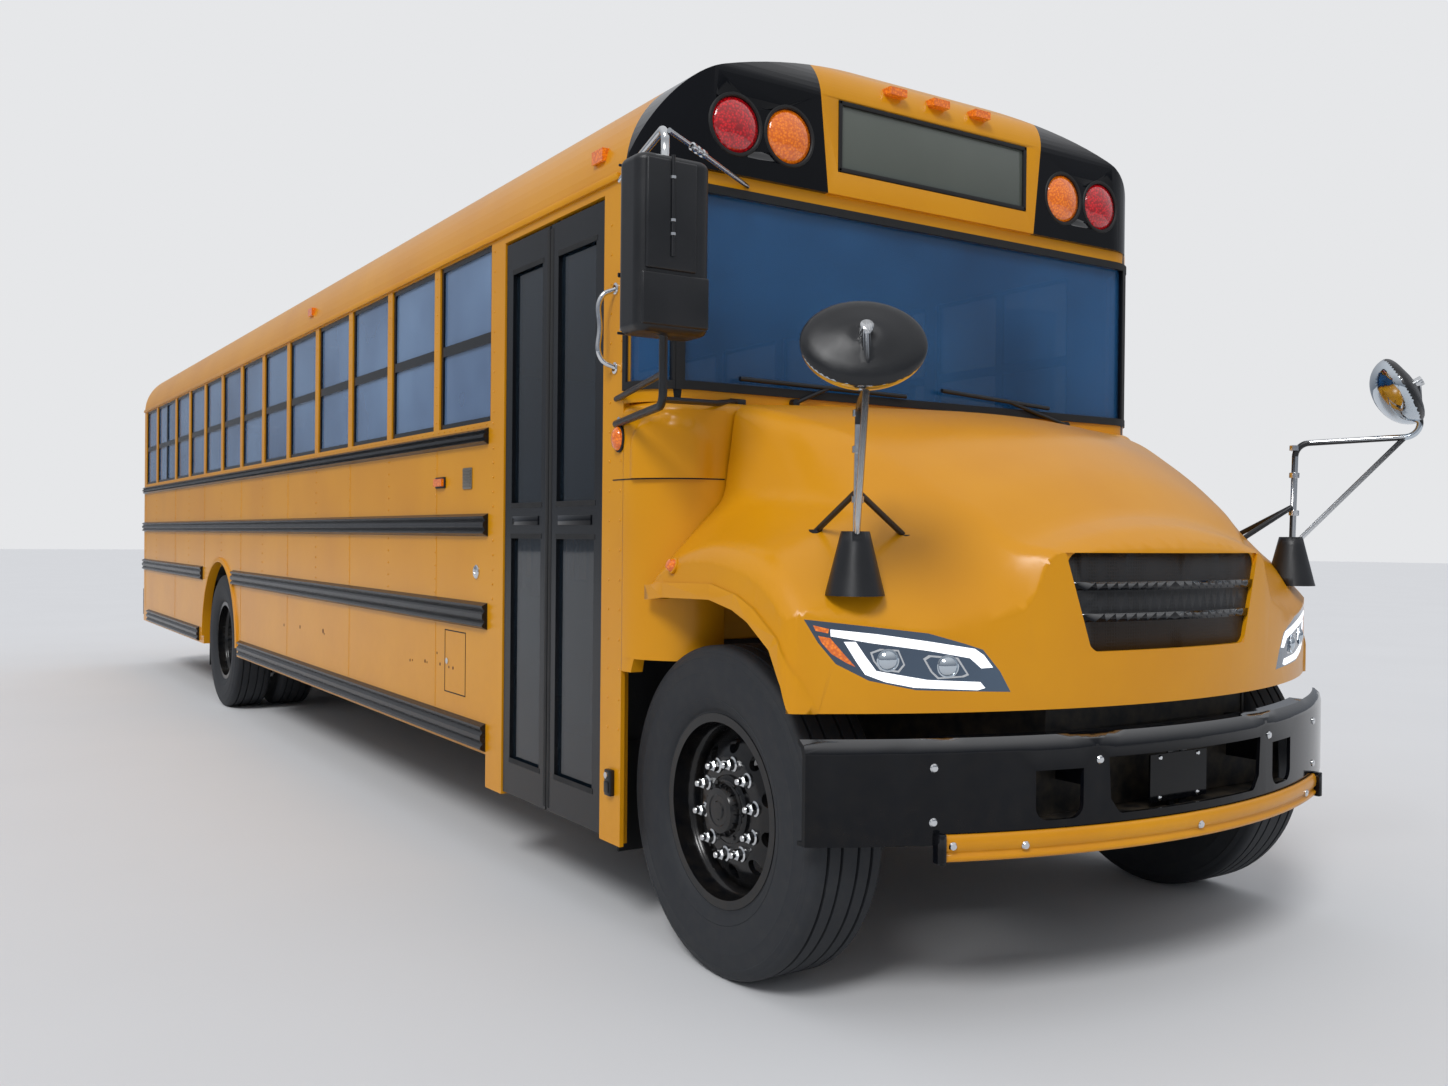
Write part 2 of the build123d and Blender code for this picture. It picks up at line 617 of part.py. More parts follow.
# Leaf springs: a bowed pack of leaves at each wheel, hung from the frame rails
SPRINGS = [
    (FRONT_AXLE_X, 1250.0, 395.0, 45.0, 566.0, 60.0),
    (REAR_AXLE_X, 1500.0, 395.0, 45.0, 590.0, 50.0),
]


def leaf_spring(x, length, y, width, foot_z, bow):
    """A bowed spring pack seen as an arc, thick in its middle."""
    low = ThreePointArc((x - length / 2, foot_z + bow), (x, foot_z), (x + length / 2, foot_z + bow))
    end_z = foot_z + bow + 14
    high = ThreePointArc((x + length / 2, end_z), (x, foot_z + 34), (x - length / 2, end_z))
    ends = Line(low @ 1, high @ 0) + Line(high @ 1, low @ 0)
    face = make_face(low + high + ends)
    plane = Plane(origin=(0, y + width, 0), x_dir=(1, 0, 0), z_dir=(0, -1, 0))
    return extrude(plane * face, amount=2 * width)


springs = []
for x, length, y, width, foot_z, bow in SPRINGS:
    pack = leaf_spring(x, length, y, width, foot_z, bow) & block((-9000, 9000), (0, 2000), (0, RAIL_Z[0]))
    springs += both_sides(pack)
write("leaf_springs", *springs)

# Front axle: a dropped beam between two king pin eyes
BEAM_Z = (470.0, 566.0)
beam = block((FRONT_AXLE_X - 50, FRONT_AXLE_X + 50), (-700, 700), BEAM_Z)
beam -= block((FRONT_AXLE_X - 60, FRONT_AXLE_X - 20), (-650, 650), (BEAM_Z[0] + 22, BEAM_Z[1] - 22))
beam -= block((FRONT_AXLE_X + 20, FRONT_AXLE_X + 60), (-650, 650), (BEAM_Z[0] + 22, BEAM_Z[1] - 22))
EYE_Z = (440.0, 580.0)
for side in (-1, 1):
    arm_y = sorted((side * 690.0, side * KINGPIN_Y))
    beam += block((FRONT_AXLE_X - 42, FRONT_AXLE_X + 42), arm_y, (460, 560))
    beam += rod((FRONT_AXLE_X, side * KINGPIN_Y, EYE_Z[0]), (FRONT_AXLE_X, side * KINGPIN_Y, EYE_Z[1]), 48)
    beam -= rod((FRONT_AXLE_X, side * KINGPIN_Y, 400), (FRONT_AXLE_X, side * KINGPIN_Y, 620), 24.05)
write("front_axle", beam)

# Steering knuckle: two ears and a king pin round the axle's eye, with a spindle
SPINDLE_RADIUS = 38.0
knuckle = rod((FRONT_AXLE_X, KINGPIN_Y, 395), (FRONT_AXLE_X, KINGPIN_Y, 434), 52)
knuckle += rod((FRONT_AXLE_X, KINGPIN_Y, 586), (FRONT_AXLE_X, KINGPIN_Y, 625), 52)
knuckle += rod((FRONT_AXLE_X, KINGPIN_Y, 400), (FRONT_AXLE_X, KINGPIN_Y, 620), 24)
knuckle += block((FRONT_AXLE_X - 52, FRONT_AXLE_X + 52), (KINGPIN_Y, KINGPIN_Y + 84), (395, 434))
knuckle += block((FRONT_AXLE_X - 52, FRONT_AXLE_X + 52), (KINGPIN_Y, KINGPIN_Y + 84), (586, 625))
knuckle += block((FRONT_AXLE_X - 52, FRONT_AXLE_X + 52), (KINGPIN_Y + 56, KINGPIN_Y + 84), (395, 625))
spindle_start = (FRONT_AXLE_X, KINGPIN_Y + 80, TYRE_RADIUS)
spindle_end = (FRONT_AXLE_X, KINGPIN_Y + 170, TYRE_RADIUS)
knuckle += rod(spindle_start, spindle_end, SPINDLE_RADIUS)
write("knuckle_left", knuckle)
write("knuckle_right", mirror(knuckle, about=Plane.XZ))


def turned(points, x, y):
    """A closed outline of radius and offset, spun round a wheel's axle line."""
    plane = Plane(origin=(x, y, TYRE_RADIUS), x_dir=(1, 0, 0), z_dir=(0, 0, 1))
    axis = Axis((x, y, TYRE_RADIUS), (0, 1, 0))
    return revolve(plane * make_face(Polyline(*points, close=True)), axis)


def tyre(x, y):
    """A road tyre: walls widest at mid height, sloped shoulders and a flat tread."""
    half = [(RIM_RADIUS, 100), (405, TYRE_HALF), (TYRE_RADIUS - 18, 126), (TYRE_RADIUS, 104)]
    return turned([(radius, -out) for radius, out in half] + half[::-1], x, y)


def rim(x, y, dish, side):
    """A steel disc wheel. dish is how far its disc stands outboard of the middle."""
    flange = RIM_RADIUS + 13
    seat = RIM_RADIUS - 0.3
    well = RIM_RADIUS - 14
    half = [(seat, 100.3), (flange, 105), (flange, 112), (well, 112), (well, 60), (well - 20, 40)]
    barrel = [(radius, -out) for radius, out in half[::-1]] + half
    shape = turned(barrel, x, y)
    face = side * dish
    inner = face - side * 14
    disc = [
        (46, face), (155, face), (205, side * 30 + face * 0.3), (RIM_RADIUS - 30, side * 8 + face * 0.1),
        (RIM_RADIUS - 30, side * -12 + face * 0.1), (200, side * 12 + face * 0.3), (150, inner), (46, inner),
    ]
    shape += turned(disc, x, y)
    hand_hole_ring = 196.0
    for index in range(10):
        angle = math.radians(36 * index + 18)
        hole_x = x + hand_hole_ring * math.cos(angle)
        hole_z = TYRE_RADIUS + hand_hole_ring * math.sin(angle)
        shape -= rod((hole_x, y - 150, hole_z), (hole_x, y + 150, hole_z), 24)
    return shape


def hub(x, y, side, inner, outer, bore_depth):
    """A hub barrel with a closed cap and a blind bore for the axle."""
    shape = rod((x, y + side * inner, TYRE_RADIUS), (x, y + side * outer, TYRE_RADIUS), 105)
    shape += rod((x, y + side * outer, TYRE_RADIUS), (x, y + side * (outer + 40), TYRE_RADIUS), 68)
    bore_start = (x, y + side * (inner - 5), TYRE_RADIUS)
    bore_end = (x, y + side * bore_depth, TYRE_RADIUS)
    shape -= rod(bore_start, bore_end, SPINDLE_RADIUS + 3)
    return shape


FRONT_DISH = 70.0
for name, side in (("right", -1), ("left", 1)):
    y = side * FRONT_WHEEL_Y
    write("front_tyre_" + name, tyre(FRONT_AXLE_X, y))
    wheel = rim(FRONT_AXLE_X, y, FRONT_DISH, side)
    wheel += hub(FRONT_AXLE_X, y, side, -45, 72, 45)
    write("front_wheel_" + name, wheel)

# Rear twin wheels: the outer disc is dished inward and meets the inner disc
for name, side in (("right", -1), ("left", 1)):
    tyres = [tyre(REAR_AXLE_X, side * y) for y in (DUAL_OUTER_Y, DUAL_INNER_Y)]
    write("rear_tyres_" + name, *tyres)
    pair = rim(REAR_AXLE_X, side * DUAL_OUTER_Y, -150, side)
    pair += rim(REAR_AXLE_X, side * DUAL_INNER_Y, 171, side)
    pair += hub(REAR_AXLE_X, side * DUAL_OUTER_Y, side, -260, -60, -100)
    write("rear_wheels_" + name, pair)

# Rear axle: housing with its differential and the two stub ends
axle = rod((REAR_AXLE_X, -740, TYRE_RADIUS), (REAR_AXLE_X, 740, TYRE_RADIUS), 62)
axle += rod((REAR_AXLE_X, -900, TYRE_RADIUS), (REAR_AXLE_X, 900, TYRE_RADIUS), SPINDLE_RADIUS)
axle += Pos(REAR_AXLE_X, 0, TYRE_RADIUS) * Sphere(185)
axle += rod((REAR_AXLE_X, 0, TYRE_RADIUS), (REAR_AXLE_X + 330, 0, TYRE_RADIUS + 20), 80)
for side in (-1, 1):
    seat_y = sorted((side * 350.0, side * 440.0))
    axle += block((REAR_AXLE_X - 60, REAR_AXLE_X + 60), seat_y, (TYRE_RADIUS, 590))
write("rear_axle", axle)

# Driveline: engine block, then gearbox and shaft; tank, silencer and tail pipe
ENGINE_X = (4790.0, 5600.0)
engine = block(ENGINE_X, (-330, 330), (620, 1330))
write("engine_block", engine)
shaft = rod((ENGINE_X[0] + 20, 0, 736), (4050, 0, 700), 155) - engine
shaft += tube_run([(4060, 0, 700), (1300, 0, 620), (REAR_AXLE_X + 335, 0, TYRE_RADIUS + 22)], 52, 200)
write("drive_shaft", shaft)
tank = block((1500, 2900), (520, 1090), (480, 860))
tank = fillet(tank.edges().filter_by(Axis.X), 50)
for tank_x in (1750, 2650):
    tank += block((tank_x - 30, tank_x + 30), (RAIL_OUTER_Y, 560), (600, 840))
write("fuel_tank", tank)
muffler = rod((2950, -760, 680), (1850, -760, 680), 135)
muffler += rod((1860, -760, 680), (-900, -760, 700), 45)
muffler += block((2350, 2430), (-700, -RAIL_OUTER_Y), (720, 800))
muffler += block((0, 60), (-770, -RAIL_OUTER_Y), (710, 770))
write("exhaust", muffler)

# Mud flaps behind every wheel
flap_rear = block((REAR_AXLE_X - 640, REAR_AXLE_X - 630), (560, 1165), (260, 900))
flap_front = block((4382, 4392), (780, 1165), (260, 640))
write("mud_flaps", *(both_sides(flap_rear) + both_sides(flap_front)))

# Front bumper: a channel swept along its plan arc. Its outline gives reach from the
# outer face and height, with a rolled top edge.
BUMPER_PROFILE = [
    (-75, 808), (-24, 808), (-6, 792), (0, 768), (0, 520), (-75, 520),
    (-75, 532), (-12, 532), (-12, 764), (-17, 784), (-29, 796), (-75, 796),
]
BAR_PROFILE = [
    (0, 476), (12, 476), (16, 482), (16, 490), (9, 496), (9, 502), (16, 509),
    (18, 525), (16, 541), (10, 549), (0, 550),
]
BAR_HALF = 875.0
BUMPER_CENTRE_X = BUMPER_NOSE_X - BUMPER_ARC


def along_bumper(profile, half):
    """A closed outline of reach and height, swept along the bumper's plan arc."""
    points = [(BUMPER_NOSE_X + reach, 0, height) for reach, height in profile]
    face = make_face(Polyline(*points, close=True))
    ring = revolve(face, Axis((BUMPER_CENTRE_X, 0, 0), (0, 0, 1)))
    return ring & block((BUMPER_CENTRE_X, BUMPER_NOSE_X + 50), (-half, half), (0, 1000))


def front_prism(points, radius, foot_z):
    """A prism through the bumper along X, its corners below foot_z rounded."""
    face = make_face(Polyline(*points, close=True))
    corners = [v for v in face.vertices() if v.Y < foot_z]
    return extrude(Plane.YZ.offset(5500) * fillet(corners, radius), amount=400)


FLANGE_HALF = 850.0
END_FLANGE = 30.0
front_bumper = along_bumper(BUMPER_PROFILE, BUMPER_HALF)
end_core = extrude(Pos(BUMPER_CENTRE_X, 0) * Circle(BUMPER_ARC - END_FLANGE), amount=1000)
for side in (-1, 1):
    end_y = sorted((side * FLANGE_HALF, side * (BUMPER_HALF + 20)))
    front_bumper -= end_core & block((5300, 5900), end_y, (0, 1000))
RECESS = [(-358, 738), (-350, 618), (-316, 574), (316, 574), (350, 618), (358, 738)]
TOW_OPENING = [(446, 712), (446, 572), (600, 572), (600, 712)]
front_bumper -= front_prism(RECESS, 25, 600)
for prism in both_sides(front_prism(TOW_OPENING, 40, 600)):
    front_bumper -= prism
inner_disc = Pos(BUMPER_CENTRE_X, 0) * Circle(BUMPER_ARC - 6)
for side in (-1, 1):
    arm_y = sorted((side * 372.0, side * 432.0))
    arm = block((CROSS_X[-1] + 40, BUMPER_NOSE_X), arm_y, (660, 796))
    front_bumper += arm & extrude(inner_disc, amount=1000)
# A blank plate on two straps inside the recess, drilled for a number plate
PLATE_X = (5788.0, 5794.0)
PLATE_HALF = 133.0
PLATE_Z = (575.0, 717.0)
PLATE_HOLES = (89.0, 60.5)
PLATE_HOLE_RADIUS = 3.5
plate_middle = sum(PLATE_Z) / 2
for side in (-1, 1):
    strap_y = sorted((side * 15.0, side * 45.0))
    front_bumper += block((PLATE_X[0] - 6, PLATE_X[0]), strap_y, (526, 802))
front_bumper += block(PLATE_X, (-PLATE_HALF, PLATE_HALF), PLATE_Z)
for hole_y in (-PLATE_HOLES[0], PLATE_HOLES[0]):
    for hole_z in (plate_middle - PLATE_HOLES[1], plate_middle + PLATE_HOLES[1]):
        hole = ((PLATE_X[0] - 5, hole_y, hole_z), (PLATE_X[1] + 5, hole_y, hole_z))
        front_bumper -= rod(*hole, PLATE_HOLE_RADIUS)
write("front_bumper", front_bumper)
write("bumper_bar", along_bumper(BAR_PROFILE, BAR_HALF))

# Rear bumper: a straight channel on two arms
rear_bumper = block((-5870, -5770), (-HALF_WIDTH, HALF_WIDTH), (500, 760))
rear_bumper = fillet(rear_bumper.edges().filter_by(Axis.Z).group_by(Axis.X)[0], 70)
rear_bumper -= block((-5858, -5765), (-HALF_WIDTH + 80, HALF_WIDTH - 80), (512, 748))
for side in (-1, 1):
    rear_bumper += block((-5860, RAIL_X[0]), sorted((side * 380.0, side * RAIL_OUTER_Y)), (650, 740))
    rear_bumper -= block((-5900, -5840), sorted((side * 300.0, side * 330.0)), (560, 590))
write("rear_bumper", rear_bumper)

# Hood: one loft across the nose and both fenders. Each section gives its station,
# the crown height, then distance from the centre and height of the nose shoulder,
# the valley beside the nose and the fender's corner, and the three radii there.
HOOD_SECTIONS = [
    (4690.0, 1825, (950, 1800), (965, 1460), (1218, 1195), (60, 120, 70)),
    (4775.0, 1822, (938, 1790), (985, 1480), (1218, 1250), (60, 120, 80)),
    (5000.0, 1800, (860, 1720), (955, 1470), (1218, 1310), (120, 150, 120)),
    (5270.0, 1725, (742, 1587), (885, 1440), (1218, 1285), (250, 180, 150)),
    (5430.0, 1630, (664, 1498), (800, 1400), (1218, 1155), (220, 160, 150)),
    (5530.0, 1550, (610, 1438), (725, 1340), (1195, 1045), (160, 140, 120)),
    (5640.0, 1440, (558, 1342), (640, 1240), (1110, 880), (110, 120, 100)),
    (5720.0, 1400, (505, 1320), (575, 1150), (980, 790), (70, 100, 80)),
    (5800.0, 1330, (470, 1260), (520, 1060), (860, 740), (60, 80, 60)),
]
HOOD_HALF = 1214.0
HOOD_FLOOR_Z = 650.0
HOOD_PLAN_RADIUS = 2250.0
HOOD_NOSE_X = 5792.0
HOOD_CORNER = 60.0
LAMP_DEPTH = 30.0
LIP_WIDTH = 48.0
LIP_OUT = 8.0


def eased(before, low, high, after, share):
    """A value between low and high on a smooth curve through all four."""
    bend = 2 * before - 5 * low + 4 * high - after
    swing = 3 * low - before - 3 * high + after
    return (2 * low + (high - before) * share + bend * share ** 2 + swing * share ** 3) / 2


def hood_row(index, share):
    """The section table's row at a share of the way from one row to the next."""
    last = len(HOOD_SECTIONS) - 1
    near = [HOOD_SECTIONS[min(max(spot, 0), last)] for spot in range(index - 1, index + 3)]
    station, crown = (eased(*column, share) for column in zip(*[row[:2] for row in near]))
    groups = []
    for column in range(2, 6):
        values = zip(*[row[column] for row in near])
        groups.append(tuple(eased(*value, share) for value in values))
    return station, crown, *groups


def hood_section(row, inset, shift):
    """One closed section across X, both sides at once."""
    station, crown, shoulder, valley, corner, radii = row
    crown -= inset
    side = [(py - inset, pz - inset) for py, pz in (shoulder, valley, corner)]
    side.append((corner[0] - inset, HOOD_FLOOR_Z - inset))
    turns = (-inset, inset, -inset)
    left = [(-py, pz) for py, pz in side[::-1]]
    crown_arc = ThreePointArc(left[-1], (0, crown), side[0])
    face = make_face(crown_arc + Polyline(*side, *left))
    for index, (radius, turn) in enumerate(zip(radii, turns)):
        spots = [Vector(side[index]), Vector(left[-1 - index])]
        ends = [v for v in face.vertices() if min((Vector(*v) - spot).length for spot in spots) < 1]
        face = fillet(ends, radius + turn)
    return Plane.YZ.offset(station + shift) * face


def hood_plan(inset, reach):
    """The hood's plan as an upright prism: a wide front arc and round corners."""
    disc = Pos(HOOD_NOSE_X - HOOD_PLAN_RADIUS, 0) * Circle(HOOD_PLAN_RADIUS - inset)
    half = HOOD_HALF - inset
    plan = disc & Pos(5200, 0) * Rectangle(2 * reach, 2 * half)
    corners = plan.vertices().group_by(Axis.X)[-1]
    return extrude(fillet(corners, HOOD_CORNER - inset), amount=2200)


def hood_form(inset):
    """The hood's outer form, or its hollow when it is set in."""
    sections = [hood_section(HOOD_SECTIONS[0], inset, -4 * abs(inset))]
    for index in range(len(HOOD_SECTIONS) - 1):
        for share in (0.5, 1.0):
            sections.append(hood_section(hood_row(index, share), inset, 0))
    return loft(sections) & hood_plan(inset, 900)


outer_form = hood_form(0)
hood = outer_form - hood_form(HOOD_SKIN)
# The wheel openings and the raised lip round each of them
WHEEL_CUT = [
    (4500, 400), (4500, 1140), (4690, 1150), (4770, 1160), (5048, 1166), (5173, 1142),
    (5251, 1112), (5361, 1040), (5416, 947), (5435, 885), (5435, 400),
]
lip_face = offset(make_face(Polyline(*WHEEL_CUT, close=True)), amount=LIP_WIDTH)
lip_plane = Plane(origin=(0, 1300, 0), x_dir=(1, 0, 0), z_dir=(0, -1, 0))
lip = (hood_form(-LIP_OUT) - outer_form) & extrude(lip_plane * lip_face, amount=200)
for shape in both_sides(lip):
    hood += shape
hood -= block((4000, 7000), (-1500, 1500), (0, HOOD_BASE_Z))
for side in (-1, 1):
    hood -= side_panel(WHEEL_CUT, sorted((side * 990.0, side * 1300.0)))
hood -= cowl_solid(-HOOD_GAP, (400, 2000))
GRILLE_TOP = (1319.0, 454.0)
GRILLE_FOOT = (1032.0, 360.0)


def grille_prism(grow):
    """The grille opening as a prism along X, grown all round."""
    top, foot = GRILLE_TOP[0] + grow, GRILLE_FOOT[0] - grow
    wide, narrow = GRILLE_TOP[1] + grow, GRILLE_FOOT[1] + grow
    face = make_face(Polyline((-narrow, foot), (narrow, foot), (wide, top), (-wide, top), close=True))
    return extrude(Plane.YZ.offset(5600) * face, amount=300)


hood -= grille_prism(0)

# Headlamp outline as seen from the front: distance from the centre and height
HEADLAMP = [
    (1175, 1131), (1016, 1112), (863, 1093), (761, 1063), (710, 1046), (659, 984),
    (627, 926), (894, 936), (1016, 963), (1098, 1009), (1141, 1067),
]
lamp_prism = extrude(Plane.YZ.offset(5300) * make_face(Polyline(*HEADLAMP, close=True)), amount=600)
lamp_shape = (outer_form - hood_form(LAMP_DEPTH)) & lamp_prism
for prism in both_sides(lamp_prism):
    hood -= prism
hood = hood.solids().sort_by(SortBy.VOLUME)[-1]
write("hood", hood)
write("headlamps", *both_sides(lamp_shape.solids().sort_by(SortBy.VOLUME)[-1]))

# Grille: a curved panel against the back of the hood's front wall, with two bars
GRILLE_LAP = 12.0
GRILLE_PANEL = 10.0


def front_ring(outer, inner, z):
    """A level band that follows the hood's front arc, between two depths."""
    centre = Pos(HOOD_NOSE_X - HOOD_PLAN_RADIUS, 0, z[0])
    ring = Circle(HOOD_PLAN_RADIUS - outer) - Circle(HOOD_PLAN_RADIUS - inner)
    return extrude(centre * ring, amount=z[1] - z[0]) & block((5600, 5900), (-600, 600), z)


panel_z = (GRILLE_FOOT[0] - GRILLE_LAP, GRILLE_TOP[0] + GRILLE_LAP)
panel = front_ring(HOOD_SKIN, HOOD_SKIN + GRILLE_PANEL, panel_z) & grille_prism(GRILLE_LAP)
for bar_z in (1130.0, 1222.0):
    bar = front_ring(3, HOOD_SKIN + GRILLE_PANEL, (bar_z - 12, bar_z + 12))
    panel += bar & grille_prism(-1)
write("grille", (panel - hood).solids().sort_by(SortBy.VOLUME)[-1])

# Cross view mirrors on the fenders: a foot, two stays, a bent tube with its brace,
# and an oval head with a deep dome towards the driver. The left head stands higher.
FOOT_BASE = (5498.0, 1027.0, 1196.0)
FOOT_RADII = (84.0, 40.0)
FOOT_TOP = 1374.0
TUBE_ROUTE = [(5503, 1027, 1340), (5511, 1029, 1716), (5838, 1269, 1736)]
TUBE_END = (5826.0, 1266.0, 1868.0)
BRACE = ((5512, 1034, 1350), (5797, 1240, 1733))
STAY_TOP = (5504, 1027, 1486)
STAY_FEET = [(5283, 1000, 1374), (5447, 800, 1361)]
HEAD_HALVES = (160.0, 128.0)
HEAD_DOME = 95.0
HEAD_BACK = 42.0
HEAD_FACING = Vector(0.742, 0.471, 0.477)
HEAD_RISE = [(-1, 0.0), (1, 60.0)]
# The dome's steps: share of its depth and share of its half lengths there
CAP_STEPS = [(0.0, 1.0), (0.3, 0.954), (0.6, 0.8), (0.86, 0.51), (0.99, 0.12)]


def oval_cap(depth):
    """A domed oval on the XY plane, as deep as given."""
    long_half, short_half = HEAD_HALVES
    rows = []
    for rise, share in CAP_STEPS:
        rows.append(Pos(0, 0, depth * rise) * Ellipse(long_half * share, short_half * share))
    return loft(rows)


def crossview(rise):
    """The left cross view mirror, its head lifted by rise."""
    shape = Pos(*FOOT_BASE) * Cone(
        *FOOT_RADII, FOOT_TOP - FOOT_BASE[2], align=(Align.CENTER, Align.CENTER, Align.MIN))
    for foot in STAY_FEET:
        shape += rod(foot, STAY_TOP, 9)
        shape += rod((foot[0], foot[1], foot[2] - 20), (foot[0], foot[1], foot[2] + 5), 22)
    ball = (TUBE_END[0], TUBE_END[1], TUBE_END[2] + rise)
    shape -= outer_form
    shape += tube_run(TUBE_ROUTE + [ball], 11, 50)
    shape += rod(*BRACE, 9)
    hub_end = Vector(*ball) - HEAD_FACING * 24
    shape += rod(Vector(*ball) + HEAD_FACING * 16, hub_end, 17)
    centre = Vector(*ball) - HEAD_FACING * (HEAD_BACK + 14)
    level = Vector(-HEAD_FACING.Y, HEAD_FACING.X, 0)
    plane = Plane(origin=centre, x_dir=level, z_dir=HEAD_FACING)
    head = plane * (oval_cap(HEAD_BACK) + oval_cap(-HEAD_DOME))
    return (shape + head).solids().sort_by(SortBy.VOLUME)[-1]


crossviews = []
for side, rise in HEAD_RISE:
    mirror_part = crossview(rise)
    crossviews.append(mirror_part if side > 0 else mirror(mirror_part, about=Plane.XZ))
write("crossview_mirrors", *crossviews)

# Side mirrors: a tall head on a bracket from each front corner. The left one is folded
# back beside the driver's window.
MIRROR_X = 4985.0
MIRROR_Y = 1350.0
MIRROR_HINGE_X = 4440.0
head = block((MIRROR_X - 75, MIRROR_X + 75), (MIRROR_Y - 125, MIRROR_Y + 125), (1950, 2470))
head = fillet(head.edges().filter_by(Axis.Z), 45)
head = fillet(head.faces().sort_by(Axis.Z)[-1].edges(), 25)
head = fillet(head.faces().sort_by(Axis.Z)[0].edges(), 25)
lower_arm = [(MIRROR_X, MIRROR_Y, 1980), (MIRROR_X, MIRROR_Y, 1745), (MIRROR_HINGE_X, HALF_WIDTH - 5, 1735)]
upper_arm = [(MIRROR_X, MIRROR_Y, 2440), (MIRROR_X, MIRROR_Y, 2575), (4460, HALF_WIDTH - 5, 2560)]
bracket = tube_run(lower_arm, 13, 40)
bracket += rod((MIRROR_X, MIRROR_Y, 1840), (MIRROR_HINGE_X, HALF_WIDTH - 5, 1820), 10)
bracket += tube_run(upper_arm, 13, 40)
bracket -= block((4000, 4700), (0, HALF_WIDTH), (1600, 2700))
left_mirror, right_mirror = both_sides(head + bracket)
folded_back = mirror(left_mirror, about=Plane.YZ.offset(MIRROR_HINGE_X))
write("side_mirrors", folded_back, right_mirror)

# Seats: twelve benches on each side and the driver's chair
SEAT_FIRST_X = 2900.0
SEAT_PITCH = 700.0
SEAT_ROWS = 12
BENCH_Y = (160.0, 1150.0)
SEAT_PROFILE = [(0, 380), (430, 380), (430, 470), (90, 450), (20, 1080), (-70, 1080)]


def bench(x, y, outer_leg):
    """One bench: a cushion and a raked back on two legs."""
    points = [(x + px, FLOOR_TOP + pz) for px, pz in SEAT_PROFILE]
    seat = side_panel(points, y)
    for foot_y in (y[0] + 60, outer_leg):
        seat += block((x + 60, x + 380), (foot_y - 15, foot_y + 15), (FLOOR_TOP, FLOOR_TOP + 385))
    return seat


seats = []
for row in range(SEAT_ROWS):
    x = SEAT_FIRST_X - row * SEAT_PITCH
    beside_housing = abs(x + 220 - REAR_AXLE_X) < 540
    outer_leg = HOUSING_Y - 40 if beside_housing else BENCH_Y[1] - 60
    seats += both_sides(bench(x, BENCH_Y, outer_leg))
driver = side_panel([(3560 + px, FLOOR_TOP + pz + 40) for px, pz in SEAT_PROFILE], (360, 860))
driver += rod((3780, 610, FLOOR_TOP), (3780, 610, FLOOR_TOP + 430), 90)
seats.append(driver)
write("seats", *seats)

# Dashboard with the steering column and wheel
dash = block((4440, 4650), (-1100, 1100), (1480, 1740)) - block((4000, 4500), (-2000, -480), (1000, 2000))
dash += rod((4460, 610, 1560), (4180, 610, 1760), 28)
ring_plane = Plane(origin=(4180, 610, 1760), z_dir=(-0.45, 0, 0.89))
wheel_ring = ring_plane * Torus(225, 16)
spoke = ring_plane * Box(450, 40, 14)
write("dashboard", dash + wheel_ring + spoke)

# Stop arm on the left side: a blank octagon on a hinge bracket
STOP_X = 3200.0
STOP_Z = 1592.0
arm_plane = Plane(origin=(STOP_X - 260, HALF_WIDTH + 36, STOP_Z), x_dir=(1, 0, 0), z_dir=(0, 1, 0))
arm = extrude(arm_plane * Rot(0, 0, 22.5) * RegularPolygon(230, 8), amount=12)
arm += block((STOP_X - 60, STOP_X - 12), (HALF_WIDTH + 32, HALF_WIDTH + 48), (STOP_Z - 120, STOP_Z + 120))
write("stop_arm", arm)
bracket = block((STOP_X + 12, STOP_X + 60), (HALF_WIDTH, HALF_WIDTH + 60), (STOP_Z - 130, STOP_Z + 130))
write("stop_arm_bracket", bracket)
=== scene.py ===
"""A conventional school bus: finishes and small fittings over its CAD parts."""

import json
import math

import bmesh
import bpy
from bpy.props import FloatProperty, FloatVectorProperty, IntProperty, PointerProperty
from mathutils import Matrix, Vector
from mathutils.bvhtree import BVHTree

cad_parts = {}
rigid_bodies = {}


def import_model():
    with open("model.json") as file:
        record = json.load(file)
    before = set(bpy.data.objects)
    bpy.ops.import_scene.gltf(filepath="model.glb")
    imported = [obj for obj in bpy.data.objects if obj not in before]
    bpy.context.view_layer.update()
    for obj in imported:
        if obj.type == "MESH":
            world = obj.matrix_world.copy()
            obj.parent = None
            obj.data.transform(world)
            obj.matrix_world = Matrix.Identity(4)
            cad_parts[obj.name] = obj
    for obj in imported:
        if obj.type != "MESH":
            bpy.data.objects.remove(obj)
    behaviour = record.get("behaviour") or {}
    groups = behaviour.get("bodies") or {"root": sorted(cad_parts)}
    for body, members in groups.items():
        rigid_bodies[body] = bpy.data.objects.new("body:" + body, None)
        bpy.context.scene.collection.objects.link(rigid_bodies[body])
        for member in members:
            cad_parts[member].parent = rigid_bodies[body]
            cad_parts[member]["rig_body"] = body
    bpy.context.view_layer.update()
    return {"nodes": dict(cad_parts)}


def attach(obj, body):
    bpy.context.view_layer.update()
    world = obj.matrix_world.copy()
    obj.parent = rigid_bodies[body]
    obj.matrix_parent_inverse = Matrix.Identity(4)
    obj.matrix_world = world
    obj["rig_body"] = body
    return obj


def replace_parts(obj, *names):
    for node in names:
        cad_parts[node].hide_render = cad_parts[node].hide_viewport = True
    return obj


bl_info = {
    "name": "School Bus Dressing",
    "version": (1, 0, 0),
    "blender": (4, 5, 0),
    "location": "3D View > Sidebar > School Bus",
    "description": "Finishes, tyres, lamps, mirrors and trim for a conventional school bus",
    "category": "Object",
}

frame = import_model()

